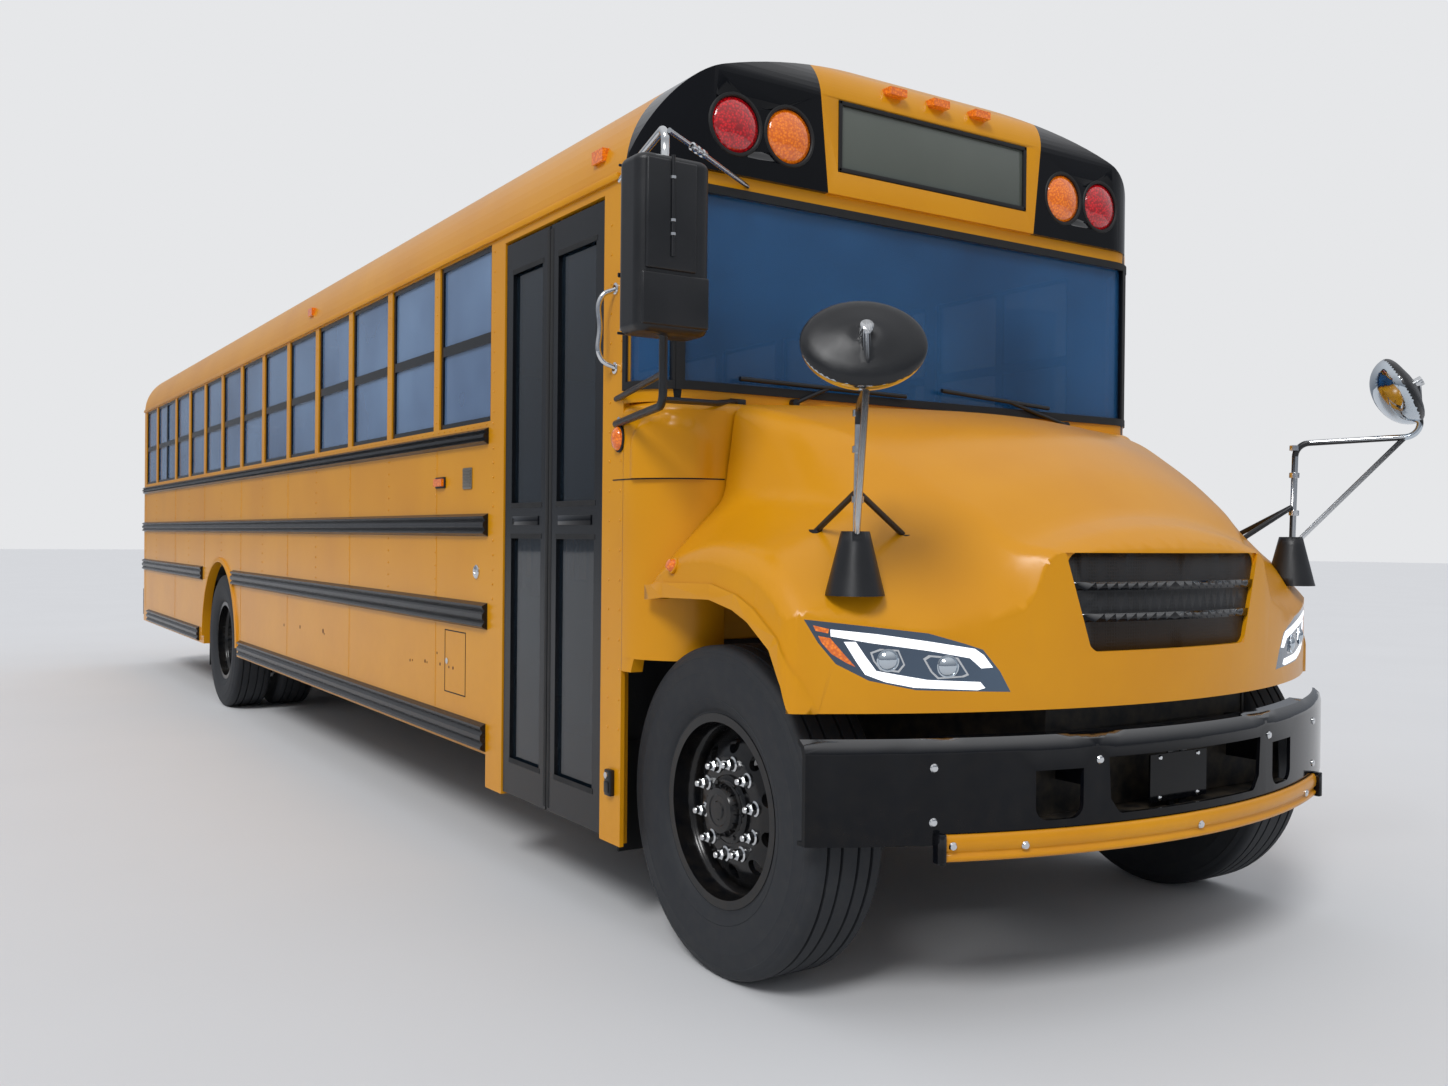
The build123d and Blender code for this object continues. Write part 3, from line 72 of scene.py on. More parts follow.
# Places that the bus is laid out from, in metres
SKIN_Y = 1.220
UNDER_SKIN_Y = 1.2195
FRONT_AXLE_X = 4.975
REAR_AXLE_X = -2.035
AXLE_Z = 0.510
REAR_X = -5.755
LAMP_FACE_X = 4.700
LAMP_Z = 2.741
MIRROR_HINGE_X = 4.440
AHEAD_X = 7.0
PILLAR_X = [3.386 - 0.669 * index for index in range(12)] + [-4.995, -5.664]
SIDES = (-1, 1)


def linear(text):
    """An sRGB hex value as the linear colour that a shader socket takes."""
    parts = [int(text[spot:spot + 2], 16) / 255 for spot in (1, 3, 5)]
    parts = [part / 12.92 if part <= 0.04045 else ((part + 0.055) / 1.055) ** 2.4 for part in parts]
    return (*parts, 1.0)


# Settings


def colour(name, description, value):
    """A colour setting, from its sRGB hex value."""
    return FloatVectorProperty(
        name=name, description=description, default=linear(value), size=4, subtype="COLOR",
        min=0, max=1)


def length(name, description, value):
    """A length setting, in metres."""
    return FloatProperty(
        name=name, description=description, default=value, unit="LENGTH", subtype="DISTANCE")


class BusPaint(bpy.types.PropertyGroup):
    """Colours of the bus"""

    body: colour("Body", "Enamel of the body and hood", "#db960d")
    body_shade: colour("Body shade", "The same enamel where it has aged", "#d28c0e")
    black: colour("Black", "Enamel of the bumper and lamp pods", "#06080c")
    tyre: colour("Tyre", "Rubber of the tyres", "#22252a")
    lens_red: colour("Red lens", "Plastic of the red lamps", "#d40f1c")
    lens_amber: colour("Amber lens", "Plastic of the amber lamps", "#f58308")
    floor: colour("Studio floor", "The floor that the bus stands on", "#dcdddf")


class BusFittings(bpy.types.PropertyGroup):
    """Sizes of the small fittings"""

    nut_radius: length("Wheel nut", "Half the width of a wheel nut over its corners", 0.0185)
    nut_ring: length("Nut circle", "Radius of the circle that the wheel nuts stand on", 0.1428)
    bolt_radius: length("Bumper bolt", "Radius of a domed bumper bolt", 0.0125)
    rivet_radius: length("Rivet", "Radius of a body rivet's head", 0.0052)
    groove_depth: length("Tread groove", "Depth of the grooves round a tyre", 0.012)
    tyre_steps: IntProperty(
        name="Tyre steps", description="Faces round a tyre", default=112, min=24, max=256)
    wheel_nuts: IntProperty(
        name="Wheel nuts", description="Nuts on each wheel", default=10, min=4, max=12)


# Finishes

FINISHES = {}
# The finish of each material slot.
FINISH_OF_SLOT = {
    "roof_white": "yellow_enamel", "body_yellow": "yellow_enamel", "gloss_black": "black_enamel",
    "black_frame": "satin_frame_enamel", "black_rail": "satin_frame_enamel",
    "black_plastic": "black_polypropylene", "rubber": "seal_rubber", "tyre": "tyre_rubber",
    "wheel_black": "wheel_enamel", "glass": "window_painted_sky", "lamp_clear": "lamp_cover",
    "lamp_red": "red_lens", "lamp_amber": "amber_lens", "chassis_black": "chassis_enamel",
    "cast_engine": "cast_iron_paint", "exhaust_steel": "aluminised_steel",
    "floor_rubber": "floor_rubber", "seat_vinyl": "seat_vinyl",
    "dash_plastic": "dashboard_plastic", "stop_red": "red_reflective_sheet",
}
# CAD parts whose finish isn't their slot's
OWN_FINISH = {
    "grille": "perforated_sheet", "entry_door_front_glass": "door_glass",
    "entry_door_rear_glass": "door_glass", "windshield_glass": "windshield_painted_sky",
}


def add(tree, kind, sockets, out=0, **settings):
    """Adds a node and returns one output. An input takes a value, a hex colour or a link."""
    made = tree.nodes.new("ShaderNode" + kind)
    for name, value in settings.items():
        setattr(made, name, value)
    for name, value in sockets.items():
        if isinstance(value, bpy.types.NodeSocket):
            tree.links.new(value, made.inputs[name])
        else:
            made.inputs[name].default_value = linear(value) if isinstance(value, str) else value
    return made.outputs[out] if made.outputs else None


def finish(name):
    """Starts a finish: its material's empty tree, and its object coordinates."""
    material = bpy.data.materials.new(name)
    material.use_nodes = True
    material.node_tree.nodes.clear()
    FINISHES[name] = material
    return material.node_tree, add(material.node_tree, "TexCoord", {}, "Object")


# The node that a tuple stands for at a shader's socket: its inputs, in the tuple's order, its
# output and its settings
PATTERNS = {
    "Base Color": ("Mix", (0, 6, 7), 2, {"data_type": "RGBA"}),
    "Emission Color": ("Mix", (0, 6, 7), 2, {"data_type": "RGBA"}),
    "Roughness": ("MapRange", ("Value", "To Min", "To Max"), 0, {}),
    "Normal": ("Bump", ("Height", "Distance", "Strength"), 0, {}),
}


def coat(tree, sockets):
    """Ends a finish with its shader and output.

    A tuple holds a share and the two colours or values that it goes between, and for Normal
    a height pattern, its depth in metres and its strength."""
    for name, value in sockets.items():
        if isinstance(value, tuple):
            kind, inputs, out, settings = PATTERNS[name]
            sockets[name] = add(tree, kind, dict(zip(inputs, value)), out, **settings)
    add(tree, "OutputMaterial", {"Surface": add(tree, "BsdfPrincipled", sockets)})


def speckle(tree, place, scale, detail, low, high):
    """Noise of one scale, spread to the range 0 to 1 between low and high."""
    noise = add(tree, "TexNoise", {"Vector": place, "Scale": scale, "Detail": detail})
    return add(tree, "MapRange", {"Value": noise, "From Min": low, "From Max": high})


def enamel(name, tone, shade, roughness, dust, dust_tone, shine, top_sheen_share=0.0):
    """Sprayed enamel: broad fading, road dust low down, a faint orange peel and a painted sheen on
    what faces up.
    """
    tree, place = finish(name)
    # Painted sheen: faces that point up get more reflection, up to the extra share given, standing
    # in for the bright sky's highlight along top edges
    facing_up = add(tree, "SeparateXYZ", {0: add(tree, "NewGeometry", {}, "Normal")}, 2)
    painted_top_sheen = add(tree, "MapRange", {"Value": facing_up, "To Min": shine, "To Max": shine + top_sheen_share})
    # Fading in patches about 0.6 m across
    fade = speckle(tree, place, 1.6, 3, 0.35, 0.7)
    faded = add(tree, "Mix", {0: fade, 6: tone, 7: shade}, 2, data_type="RGBA")
    # Dust thickens toward the ground, in clouds 40 mm across
    height = add(tree, "SeparateXYZ", {0: place}, 2)
    low = add(tree, "MapRange", {"Value": height, "From Min": 1.25, "From Max": 0.35})
    cloud = speckle(tree, place, 24, 5, 0.36, 0.74)
    clouded = add(tree, "Math", {0: low, 1: cloud}, operation="MULTIPLY")
    dusty = add(tree, "Math", {0: clouded, 1: dust}, operation="MULTIPLY")
    # Orange peel is about 2 mm across, drawn at 5 mm so that it shows
    peel = add(tree, "TexNoise", {"Vector": place, "Scale": 200.0, "Detail": 2.0})
    coat(tree, {
        "Base Color": (dusty, faded, dust_tone), "Specular IOR Level": painted_top_sheen,
        "Roughness": (dusty, roughness, min(roughness + 0.4, 1.0)),
        "Normal": (peel, 0.00012, 0.35)})


def moulding(name, tone, roughness, grain, depth):
    """Moulded plastic or rubber: a fine grain and slightly uneven gloss."""
    tree, place = finish(name)
    cells = add(tree, "TexVoronoi", {"Vector": place, "Scale": grain})
    worn = speckle(tree, place, 9, 4, 0.3, 0.75)
    lighter = tuple(min(part * 1.4 + 0.001, 1) for part in linear(tone)[:3]) + (1.0,)
    coat(tree, {
        "Base Color": (worn, tone, lighter),
        "Roughness": (worn, roughness - 0.06, roughness + 0.1), "Normal": (cells, depth, 0.5)})


def lens_plastic(name, tone, deep):
    """Moulded acrylic over a reflector: bright beads 9 mm across in a deeper colour, and a painted
    glow.
    """
    tree, place = finish(name)
    beads = add(tree, "TexVoronoi", {"Vector": place, "Scale": 110.0})
    share = add(tree, "MapRange", {"Value": beads, "From Min": 0.15, "From Max": 0.65})
    # The emission is painted glow: the lens shines as though its reflector caught the daylight, on
    # the rear reflectors too, which hold no lamp
    coat(tree, {
        "Base Color": (share, tone, deep), "Roughness": 0.12, "Coat Weight": 1.0,
        "Emission Color": (share, tone, deep), "Emission Strength": 0.22,
        "Normal": (beads, 0.0012, 0.6)})


def bright_metal(name, tone, roughness):
    """Plated or bare metal: a clean mirror broken by fine hazy marks."""
    tree, place = finish(name)
    haze = speckle(tree, place, 60, 4, 0.3, 0.8)
    coat(tree, {
        "Base Color": tone, "Metallic": 1.0, "Roughness": (haze, roughness, roughness + 0.14),
        "Normal": (haze, 0.00005, 0.3)})


def glazing(name, tone, deep, clearness):
    """Safety glass, glossy and with a trace of dust; its colour is its tint, and on the windshield
    and side windows a painted sky reflection.
    """
    tree, place = finish(name)
    film = speckle(tree, place, 1.1, 3, 0.3, 0.7)
    dust = speckle(tree, place, 40, 4, 0.3, 0.8)
    coat(tree, {
        "Base Color": (film, tone, deep), "Roughness": (dust, 0.02, 0.09), "Coat Weight": 0.4,
        "Alpha": 1.0 - clearness})


class SCHOOLBUS_OT_finishes(bpy.types.Operator):
    """Makes every finish and gives the CAD parts theirs"""

    bl_idname = "schoolbus.finishes"
    bl_label = "Finishes"

    def execute(self, context):
        paint = context.scene.bus_paint
        road_dust = "#8b7a60"
        # Gloss enamel on steel and glass fibre panels
        enamel("yellow_enamel", paint.body, paint.body_shade, 0.28, 0.06, "#8a5c20", 0.32, 0.2)
        # The black enamel carries a strong painted sheen on its top faces
        enamel("black_enamel", paint.black, "#0b0d13", 0.10, 0.02, road_dust, 0.2, 2.2)
        # Door and window frames are satin, so they show soft edges only
        enamel("satin_frame_enamel", "#0d0f13", "#13161b", 0.26, 0.03, road_dust, 0.35)
        enamel("wheel_enamel", "#08090c", "#0f1115", 0.20, 0.04, road_dust, 0.4)
        # Chassis paint is dull and carries most of the road dust
        enamel("chassis_enamel", "#101113", "#18191b", 0.6, 0.25, road_dust, 0.3)
        # Sheeting on the stop arm is clean, plain and evenly bright
        enamel("red_reflective_sheet", "#b3121a", "#a00f16", 0.32, 0.0, road_dust, 0.5)
        # Mirror backs and lamp bases: a leathery mould grain of about 1.5 mm
        moulding("black_polypropylene", "#0e1014", 0.36, 650, 0.0003)
        moulding("dashboard_plastic", "#2a2b2e", 0.6, 450, 0.0004)
        # Rubber is dark, matt and faintly dusty
        moulding("seal_rubber", "#0b0c0e", 0.62, 700, 0.0002)
        moulding("floor_rubber", "#1d1e20", 0.75, 150, 0.0008)
        # Paint over a sand casting keeps its coarse, dull skin
        moulding("cast_iron_paint", "#3a3b3d", 0.6, 220, 0.0012)
        bright_metal("chrome_plate", "#d6d8da", 0.06)
        bright_metal("aluminised_steel", "#8c8880", 0.38)
        bright_metal("mirror_glass", "#c9d2da", 0.02)
        lens_plastic("red_lens", paint.lens_red, "#8d0810")
        lens_plastic("amber_lens", paint.lens_amber, "#cf5f04")
        # Painted reflection: the windshield's blue and the side windows' greyer blue stand in for
        # the sky reflected in them
        glazing("windshield_painted_sky", "#2b6398", "#173f68", 0.36)
        glazing("window_painted_sky", "#7f9fc6", "#587298", 0.24)
        glazing("door_glass", "#1c2833", "#10181f", 0.30)
        glazing("sign_glass", "#5c625b", "#50564f", 0.0)
        glazing("lamp_cover", "#4a6077", "#2c3b4d", 0.0)
        self.special_finishes(paint)
        self.dress_nodes()
        return {"FINISHED"}

    def special_finishes(self, paint):
        """Finishes with a pattern of their own."""
        # Tyre rubber: matt, brown with dust in its pores
        tree, place = finish("tyre_rubber")
        dust = speckle(tree, place, 30, 6, 0.42, 0.78)
        share = add(tree, "Math", {0: dust, 1: 0.12}, operation="MULTIPLY")
        pores = add(tree, "TexNoise", {"Vector": place, "Scale": 500.0})
        coat(tree, {
            "Base Color": (share, paint.tyre, "#4a4640"), "Roughness": 0.72,
            "Normal": (pores, 0.0004, 0.5)})
        # Light guide: a milky white bar that stays bright in daylight
        tree, place = finish("light_guide")
        milky = speckle(tree, place, 60, 2, 0.3, 0.7)
        coat(tree, {
            "Base Color": (milky, "#ffffff", "#eef2fa"), "Roughness": 0.2,
            "Emission Color": (milky, "#ffffff", "#eef2fa"), "Emission Strength": 0.75})
        # Perforated sheet: holes 7 mm across on a 10 mm pitch, drawn on black enamel in near black
        # as painted shade in the space behind them
        tree, place = finish("perforated_sheet")
        cells = add(tree, "TexVoronoi", {"Vector": place, "Scale": 100.0, "Randomness": 0.12})
        hole = add(tree, "MapRange", {"Value": cells, "From Min": 0.36, "From Max": 0.42})
        coat(tree, {
            "Base Color": (hole, "#020203", "#121418"), "Roughness": 0.45,
            "Normal": (hole, 0.0006, 0.4)})
        # Vinyl over foam: a fine leather print about 3 mm across
        tree, place = finish("seat_vinyl")
        leather = add(
            tree, "TexVoronoi", {"Vector": place, "Scale": 330.0}, feature="DISTANCE_TO_EDGE")
        rub = speckle(tree, place, 6, 4, 0.4, 0.8)
        coat(tree, {
            "Base Color": (rub, "#20262f", "#343b46"), "Roughness": 0.5, "Coat Weight": 0.1,
            "Normal": (leather, 0.0006, 0.5)})
        # Rust: flaking brown with a rough broken surface
        tree, place = finish("rust_stain")
        flake = speckle(tree, place, 260, 6, 0.35, 0.7)
        coat(tree, {
            "Base Color": (flake, "#3a1f10", "#7a3d14"), "Roughness": 0.85,
            "Normal": (flake, 0.0008, 0.8)})

    def dress_nodes(self):
        """Gives each CAD part the finish of its material slot, or its own."""
        for name, part in frame["nodes"].items():
            for holder in part.material_slots:
                slot = holder.material.name.split(".")[0]
                if name not in OWN_FINISH and slot not in FINISH_OF_SLOT:
                    raise RuntimeError(name + " has an unknown material slot, " + slot)
                holder.material = FINISHES[OWN_FINISH.get(name) or FINISH_OF_SLOT[slot]]


# Shapes


def settle(bm, name, finishes, body="bus_body", sharp=30, weighted=False, recalc=True):
    """Makes a piece of the bmesh, gives it its finishes and hangs it on its body."""
    bmesh.ops.remove_doubles(bm, verts=bm.verts, dist=1e-6)
    if recalc:
        bmesh.ops.recalc_face_normals(bm, faces=bm.faces)
    mesh = bpy.data.meshes.new(name)
    bm.to_mesh(mesh)
    bm.free()
    for one in finishes.split():
        mesh.materials.append(FINISHES[one])
    mesh.shade_smooth()
    mesh.set_sharp_from_angle(angle=math.radians(sharp))
    piece = bpy.data.objects.new(name, mesh)
    bpy.context.scene.collection.objects.link(piece)
    if weighted:
        piece.modifiers.new("face_weights", "WEIGHTED_NORMAL").keep_sharp = True
    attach(piece, body)
    return piece


def form_of(node):
    """A CAD part's form with its loose triangles merged."""
    bm = bmesh.new()
    bm.from_mesh(frame["nodes"][node].data)
    bmesh.ops.remove_doubles(bm, verts=bm.verts, dist=1e-5)
    return bm


def redress(bm, name, node, finishes, sharp=30, weighted=True):
    """A piece that keeps a CAD part's form and takes its place."""
    body = frame["nodes"][node]["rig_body"]
    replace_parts(settle(bm, name, finishes, body, sharp, weighted, recalc=False), node)


def fill(name, finishes, shape, rows, body="bus_body", sharp=30):
    """A piece of many like shapes; a row holds what the shape's function takes."""
    bm = bmesh.new()
    for row in rows:
        shape(bm, *row)
    settle(bm, name, finishes, body, sharp)


def merge(bm, made):
    """Adds all of one bmesh to another."""
    mesh = bpy.data.meshes.new("merged")
    made.to_mesh(mesh)
    made.free()
    bm.from_mesh(mesh)
    bpy.data.meshes.remove(mesh)


def block(bm, low, high, edge=0.0, segments=2):
    """A box between two corners, its edges rounded by edge."""
    low, high = Vector(low), Vector(high)
    size = Vector([abs(part) for part in high - low])
    spot = Matrix.LocRotScale((low + high) / 2, None, size)
    made = bmesh.ops.create_cube(bm, size=1.0, matrix=spot)["verts"]
    if edge:
        round_off(bm, {line for vert in made for line in vert.link_edges}, edge, segments)


def round_off(bm, lines, edge, segments):
    """Rounds some edges."""
    bmesh.ops.bevel(
        bm, geom=list(lines), offset=edge, segments=segments, affect="EDGES", profile=0.5,
        material=-1, clamp_overlap=True)


def lathe(bm, outline, centre, direction, steps):
    """Spins an outline of (radius, reach) round the direction through centre."""
    turn = Vector(direction).to_track_quat("Z", "Y")
    spot = Matrix.LocRotScale(Vector(centre), turn, None)
    verts = [bm.verts.new(spot @ Vector((radius, 0, reach))) for radius, reach in outline]
    lines = [bm.edges.new(pair) for pair in zip(verts, verts[1:])]
    bmesh.ops.spin(
        bm, geom=verts + lines, cent=spot.translation, axis=spot.to_3x3() @ Vector((0, 0, 1)),
        angle=math.tau, steps=steps, use_merge=True)
    bmesh.ops.remove_doubles(bm, verts=bm.verts, dist=1e-6)


def dome(bm, spot, direction, radius, height, steps=10):
    """A domed bolt or rivet head standing on a surface."""
    lathe(bm, [(radius, -0.001), (radius, height * 0.25), (radius * 0.72, height * 0.8),
               (0, height)], spot, direction, steps)


def sweep(bm, spots, centre, axis, angle, steps):
    """Turns a closed outline round an axis and closes both ends."""
    verts = [bm.verts.new(spot) for spot in spots]
    lines = [bm.edges.new(pair) for pair in zip(verts, verts[1:] + verts[:1])]
    bmesh.ops.spin(
        bm, geom=verts + lines, cent=centre, axis=axis, angle=angle, steps=steps,
        use_merge=False)
    bmesh.ops.holes_fill(bm, edges=bm.edges[:], sides=len(spots))


def plate(bm, spots, vec):
    """The face through the spots, thickened along vec."""
    face = bm.faces.new([bm.verts.new(spot) for spot in spots])
    grown = bmesh.ops.extrude_face_region(bm, geom=[face])["geom"]
    verts = [part for part in grown if isinstance(part, bmesh.types.BMVert)]
    bmesh.ops.translate(bm, verts=verts, vec=vec)


def tube(bm, points, radius, smooth=True, sides=6):
    """A round bar along a smooth or straight line through the points."""
    curve = bpy.data.curves.new("route", "CURVE")
    curve.dimensions = "3D"
    curve.bevel_depth = radius
    curve.bevel_resolution = sides
    curve.use_fill_caps = True
    line = curve.splines.new("BEZIER")
    line.bezier_points.add(len(points) - 1)
    for knot, spot in zip(line.bezier_points, points):
        knot.co = spot
        knot.handle_left_type = knot.handle_right_type = "AUTO" if smooth else "VECTOR"
    holder = bpy.data.objects.new("route", curve)
    bpy.context.scene.collection.objects.link(holder)
    bpy.context.view_layer.update()
    graph = bpy.context.evaluated_depsgraph_get()
    mesh = bpy.data.meshes.new_from_object(holder.evaluated_get(graph))
    bm.from_mesh(mesh)
    bpy.data.objects.remove(holder)
    bpy.data.curves.remove(curve)
    bpy.data.meshes.remove(mesh)


def surface(*nodes):
    """The joint surface of some CAD parts, to set small fittings on."""
    bm = bmesh.new()
    for node in nodes:
        bm.from_mesh(frame["nodes"][node].data)
    tree = BVHTree.FromBMesh(bm)
    bm.free()
    return tree


def front_hit(hull, y, z):
    """Where a line from ahead of the bus meets the hull, and the normal there."""
    hit, normal = hull.ray_cast(Vector((AHEAD_X, y, z)), Vector((-1, 0, 0)))[:2]
    if hit is None:
        raise RuntimeError("A fitting misses the surface that it lies on")
    return hit, normal


def patch(bm, hull, outline, lift, thick, cuts=14):
    """A plate that follows the hull's front, from its outline as (y, z)."""
    made = bmesh.new()
    made.faces.new([made.verts.new((0, y, z)) for y, z in outline])
    low, high = min(y for y, z in outline), max(y for y, z in outline)
    for index in range(1, cuts):
        spot = (0, low + (high - low) * index / cuts, 0)
        everything = made.verts[:] + made.edges[:] + made.faces[:]
        bmesh.ops.bisect_plane(made, geom=everything, plane_co=spot, plane_no=(0, 1, 0))
    for vert in made.verts:
        vert.co.x = front_hit(hull, vert.co.y, vert.co.z)[0].x + lift
    bmesh.ops.triangulate(made, faces=made.faces[:])
    bmesh.ops.recalc_face_normals(made, faces=made.faces)
    top = made.faces[0].normal.x > 0
    bmesh.ops.solidify(made, geom=made.faces[:], thickness=thick if top else -thick)
    merge(bm, made)


class SCHOOLBUS_OT_forms(bpy.types.Operator):
    """Sets smooth copies over the curved CAD parts"""

    bl_idname = "schoolbus.forms"
    bl_label = "Smooth forms"

    # Finish, the angle past which an edge stays sharp, and the CAD parts
    FORMS = [
        ("yellow_enamel", 34, "hood"),
        ("yellow_enamel", 30, "roof front_cap"),
        ("yellow_enamel", 34, "cowl"),
        ("black_enamel", 20, "light_pods"),
        ("black_enamel", 30, "front_bumper"),
        ("yellow_enamel", 50, "bumper_bar"),
        ("yellow_enamel satin_frame_enamel", 30, "windshield_frame"),
        ("seal_rubber", 30, "windshield_seal"),
        ("windshield_painted_sky", 30, "windshield_glass"),
        ("black_enamel", 30, "rear_bumper"),
        ("aluminised_steel", 30, "exhaust"),
        ("chassis_enamel", 30, "drive_shaft rear_axle fuel_tank wheel_housings"),
        ("dashboard_plastic", 30, "dashboard"),
        ("wheel_enamel", 30, "front_wheel_left front_wheel_right"),
        ("wheel_enamel", 30, "rear_wheels_left rear_wheels_right"),
        ("red_lens", 40, "lamps_red"),
        ("amber_lens", 40, "lamps_amber"),
    ]
    # The rubber stands a little proud of the frame that it lies on
    SWELL = {"windshield_seal": 0.0008}

    def execute(self, context):
        for finishes, sharp, nodes in self.FORMS:
            for node in nodes.split():
                bm = form_of(node)
                bm.normal_update()
                for vert in bm.verts:
                    vert.co += vert.normal * self.SWELL.get(node, 0.0)
                if node == "windshield_frame":
                    self.darken_pillars(bm)
                redress(bm, node + "_form", node, finishes, sharp)
        return {"FINISHED"}

    def darken_pillars(self, bm):
        """Black paint on the pillars between the windshield and its corner panes."""
        for face in bm.faces:
            spot = face.calc_center_median()
            pillar = 1.87 < spot.z < 2.51 and 1.05 < abs(spot.y) < 1.16
            face.material_index = 1 if pillar else 0


class SCHOOLBUS_OT_tyres(bpy.types.Operator):
    """Spins the tyres, with ribbed tread and rings on their walls"""

    bl_idname = "schoolbus.tyres"
    bl_label = "Tyres"

    # Half a tyre's outline, from the bead to the tread: radius and reach from its middle
    WALL = [
        (0.286, 0.100), (0.292, 0.1035), (0.300, 0.1095), (0.306, 0.1100), (0.312, 0.1175),
        (0.324, 0.1245), (0.336, 0.1290), (0.342, 0.1318), (0.3445, 0.1300), (0.360, 0.1352),
        (0.384, 0.1385), (0.405, 0.1398), (0.424, 0.1392), (0.4265, 0.1398), (0.4290, 0.1388),
        (0.450, 0.1370), (0.470, 0.1335), (0.4735, 0.1345), (0.4775, 0.1325), (0.486, 0.1290),
        (0.4885, 0.1268), (0.492, 0.1262), (0.500, 0.1210), (0.5065, 0.1130), (0.509, 0.1040),
    ]
    # Grooves round the tread: place across it and half width
    GROOVES = [(0.078, 0.0055), (0.030, 0.0050)]
    GROOVE_TOP, GROOVE_BASE, TREAD = 0.5098, 0.5095, 0.510
    # CAD part, its axle's place and each tyre's place across
    PLACES = [
        ("front_tyre_right", FRONT_AXLE_X, (-1.020,)), ("front_tyre_left", FRONT_AXLE_X, (1.020,)),
        ("rear_tyres_right", REAR_AXLE_X, (-1.060, -0.725)),
        ("rear_tyres_left", REAR_AXLE_X, (1.060, 0.725)),
    ]

    def outline(self, depth):
        """A tyre's outline from bead to bead, open toward the rim."""
        half, floor = list(self.WALL), self.GROOVE_BASE - depth
        for spot, width in self.GROOVES:
            half += [
                (self.GROOVE_TOP, spot + width), (floor, spot + width * 0.55),
                (floor, spot - width * 0.55), (self.GROOVE_TOP, spot - width)]
        half.append((self.TREAD, 0.0))
        return half + [(radius, -reach) for radius, reach in half[-2::-1]]

    def execute(self, context):
        sizes = context.scene.bus_fittings
        loop = self.outline(sizes.groove_depth)
        for node, x, offsets in self.PLACES:
            bm = bmesh.new()
            for y in offsets:
                lathe(bm, loop + loop[:1], (x, y, AXLE_Z), (0, 1, 0), sizes.tyre_steps)
            body = frame["nodes"][node]["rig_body"]
            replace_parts(settle(bm, node + "_ribbed", "tyre_rubber", body, 24), node)
        return {"FINISHED"}


def around_axle(x, y, radius, count, turn=0.0):
    """Places evenly round an axle's line, each with its angle."""
    for index in range(count):
        angle = math.tau * (index + turn) / count
        yield Vector((x + radius * math.cos(angle), y, AXLE_Z + radius * math.sin(angle))), angle


class SCHOOLBUS_OT_wheel_fittings(bpy.types.Operator):
    """Adds nuts and hub covers to the wheels"""

    bl_idname = "schoolbus.wheel_fittings"
    bl_label = "Wheel fittings"

    CAP = [
        (0.106, 0.070), (0.106, 0.078), (0.098, 0.083), (0.086, 0.084), (0.080, 0.089),
        (0.0765, 0.102), (0.069, 0.113), (0.050, 0.1148), (0.046, 0.112), (0.030, 0.1125),
        (0.026, 0.1165), (0, 0.1175),
    ]
    FLANGE = [
        (0.104, 0.0), (0.100, 0.010), (0.070, 0.012), (0.070, 0.0405), (0.062, 0.046),
        (0.032, 0.048), (0.028, 0.056), (0, 0.057),
    ]
    STUD = [(0.0105, 0.02), (0.0105, 0.040), (0.0085, 0.043), (0, 0.043)]

    def execute(self, context):
        for name, side in (("left", 1), ("right", -1)):
            front, rear = "wheel_front_" + name, "wheel_rear_" + name
            self.nuts("front_nuts_" + name, front, FRONT_AXLE_X, side * 1.090, side)
            self.nuts("rear_nuts_" + name, rear, REAR_AXLE_X, side * 0.910, side)
            self.front_cover("front_hub_cover_" + name, front, side)
            self.rear_cover("rear_hub_cover_" + name, rear, side)
        return {"FINISHED"}

    def nuts(self, name, body, x, y, side):
        """A ring of plated nuts with their washers and studs."""
        sizes = bpy.context.scene.bus_fittings
        width, out = sizes.nut_radius, (0, side, 0)
        washer = [(width * 1.3, -0.002), (width * 1.3, 0.004), (width, 0.007)]
        flats = [(width, 0.004), (width, 0.022), (width * 0.78, 0.027), (width * 0.55, 0.0275)]
        bm = bmesh.new()
        for spot, angle in around_axle(x, y, sizes.nut_ring, sizes.wheel_nuts, 0.3):
            lathe(bm, washer, spot, out, 16)
            lathe(bm, flats, spot, out, 6)
            lathe(bm, self.STUD, spot, out, 12)
        settle(bm, name, "chrome_plate", body)

    def front_cover(self, name, body, side):
        """The stepped oil cap of the front hub, with its bolts and ribs."""
        bm = bmesh.new()
        lathe(bm, self.CAP, (FRONT_AXLE_X, side * 1.020, AXLE_Z), (0, side, 0), 48)
        for spot, angle in around_axle(FRONT_AXLE_X, side * 1.104, 0.092, 6):
            dome(bm, spot, (0, side, 0), 0.0075, 0.006, 6)
        for spot, angle in around_axle(FRONT_AXLE_X, side * 1.113, 0.076, 16):
            turn = Matrix.Rotation(-angle, 3, "Y")
            rib = bmesh.ops.create_cube(bm, size=1.0, matrix=Matrix.LocRotScale(
                spot, turn, (0.012, 0.028, 0.003)))["verts"]
            round_off(bm, {line for vert in rib for line in vert.link_edges}, 0.001, 1)
        settle(bm, name, "wheel_enamel", body)

    def rear_cover(self, name, body, side):
        """The axle shaft's flange on the rear hub and its ring of bolts."""
        bm = bmesh.new()
        lathe(bm, self.FLANGE, (REAR_AXLE_X, side * 1.0, AXLE_Z), (0, side, 0), 48)
        for spot, angle in around_axle(REAR_AXLE_X, side * 1.010, 0.086, 8, 0.5):
            dome(bm, spot, (0, side, 0), 0.010, 0.012, 6)
        settle(bm, name, "wheel_enamel", body)


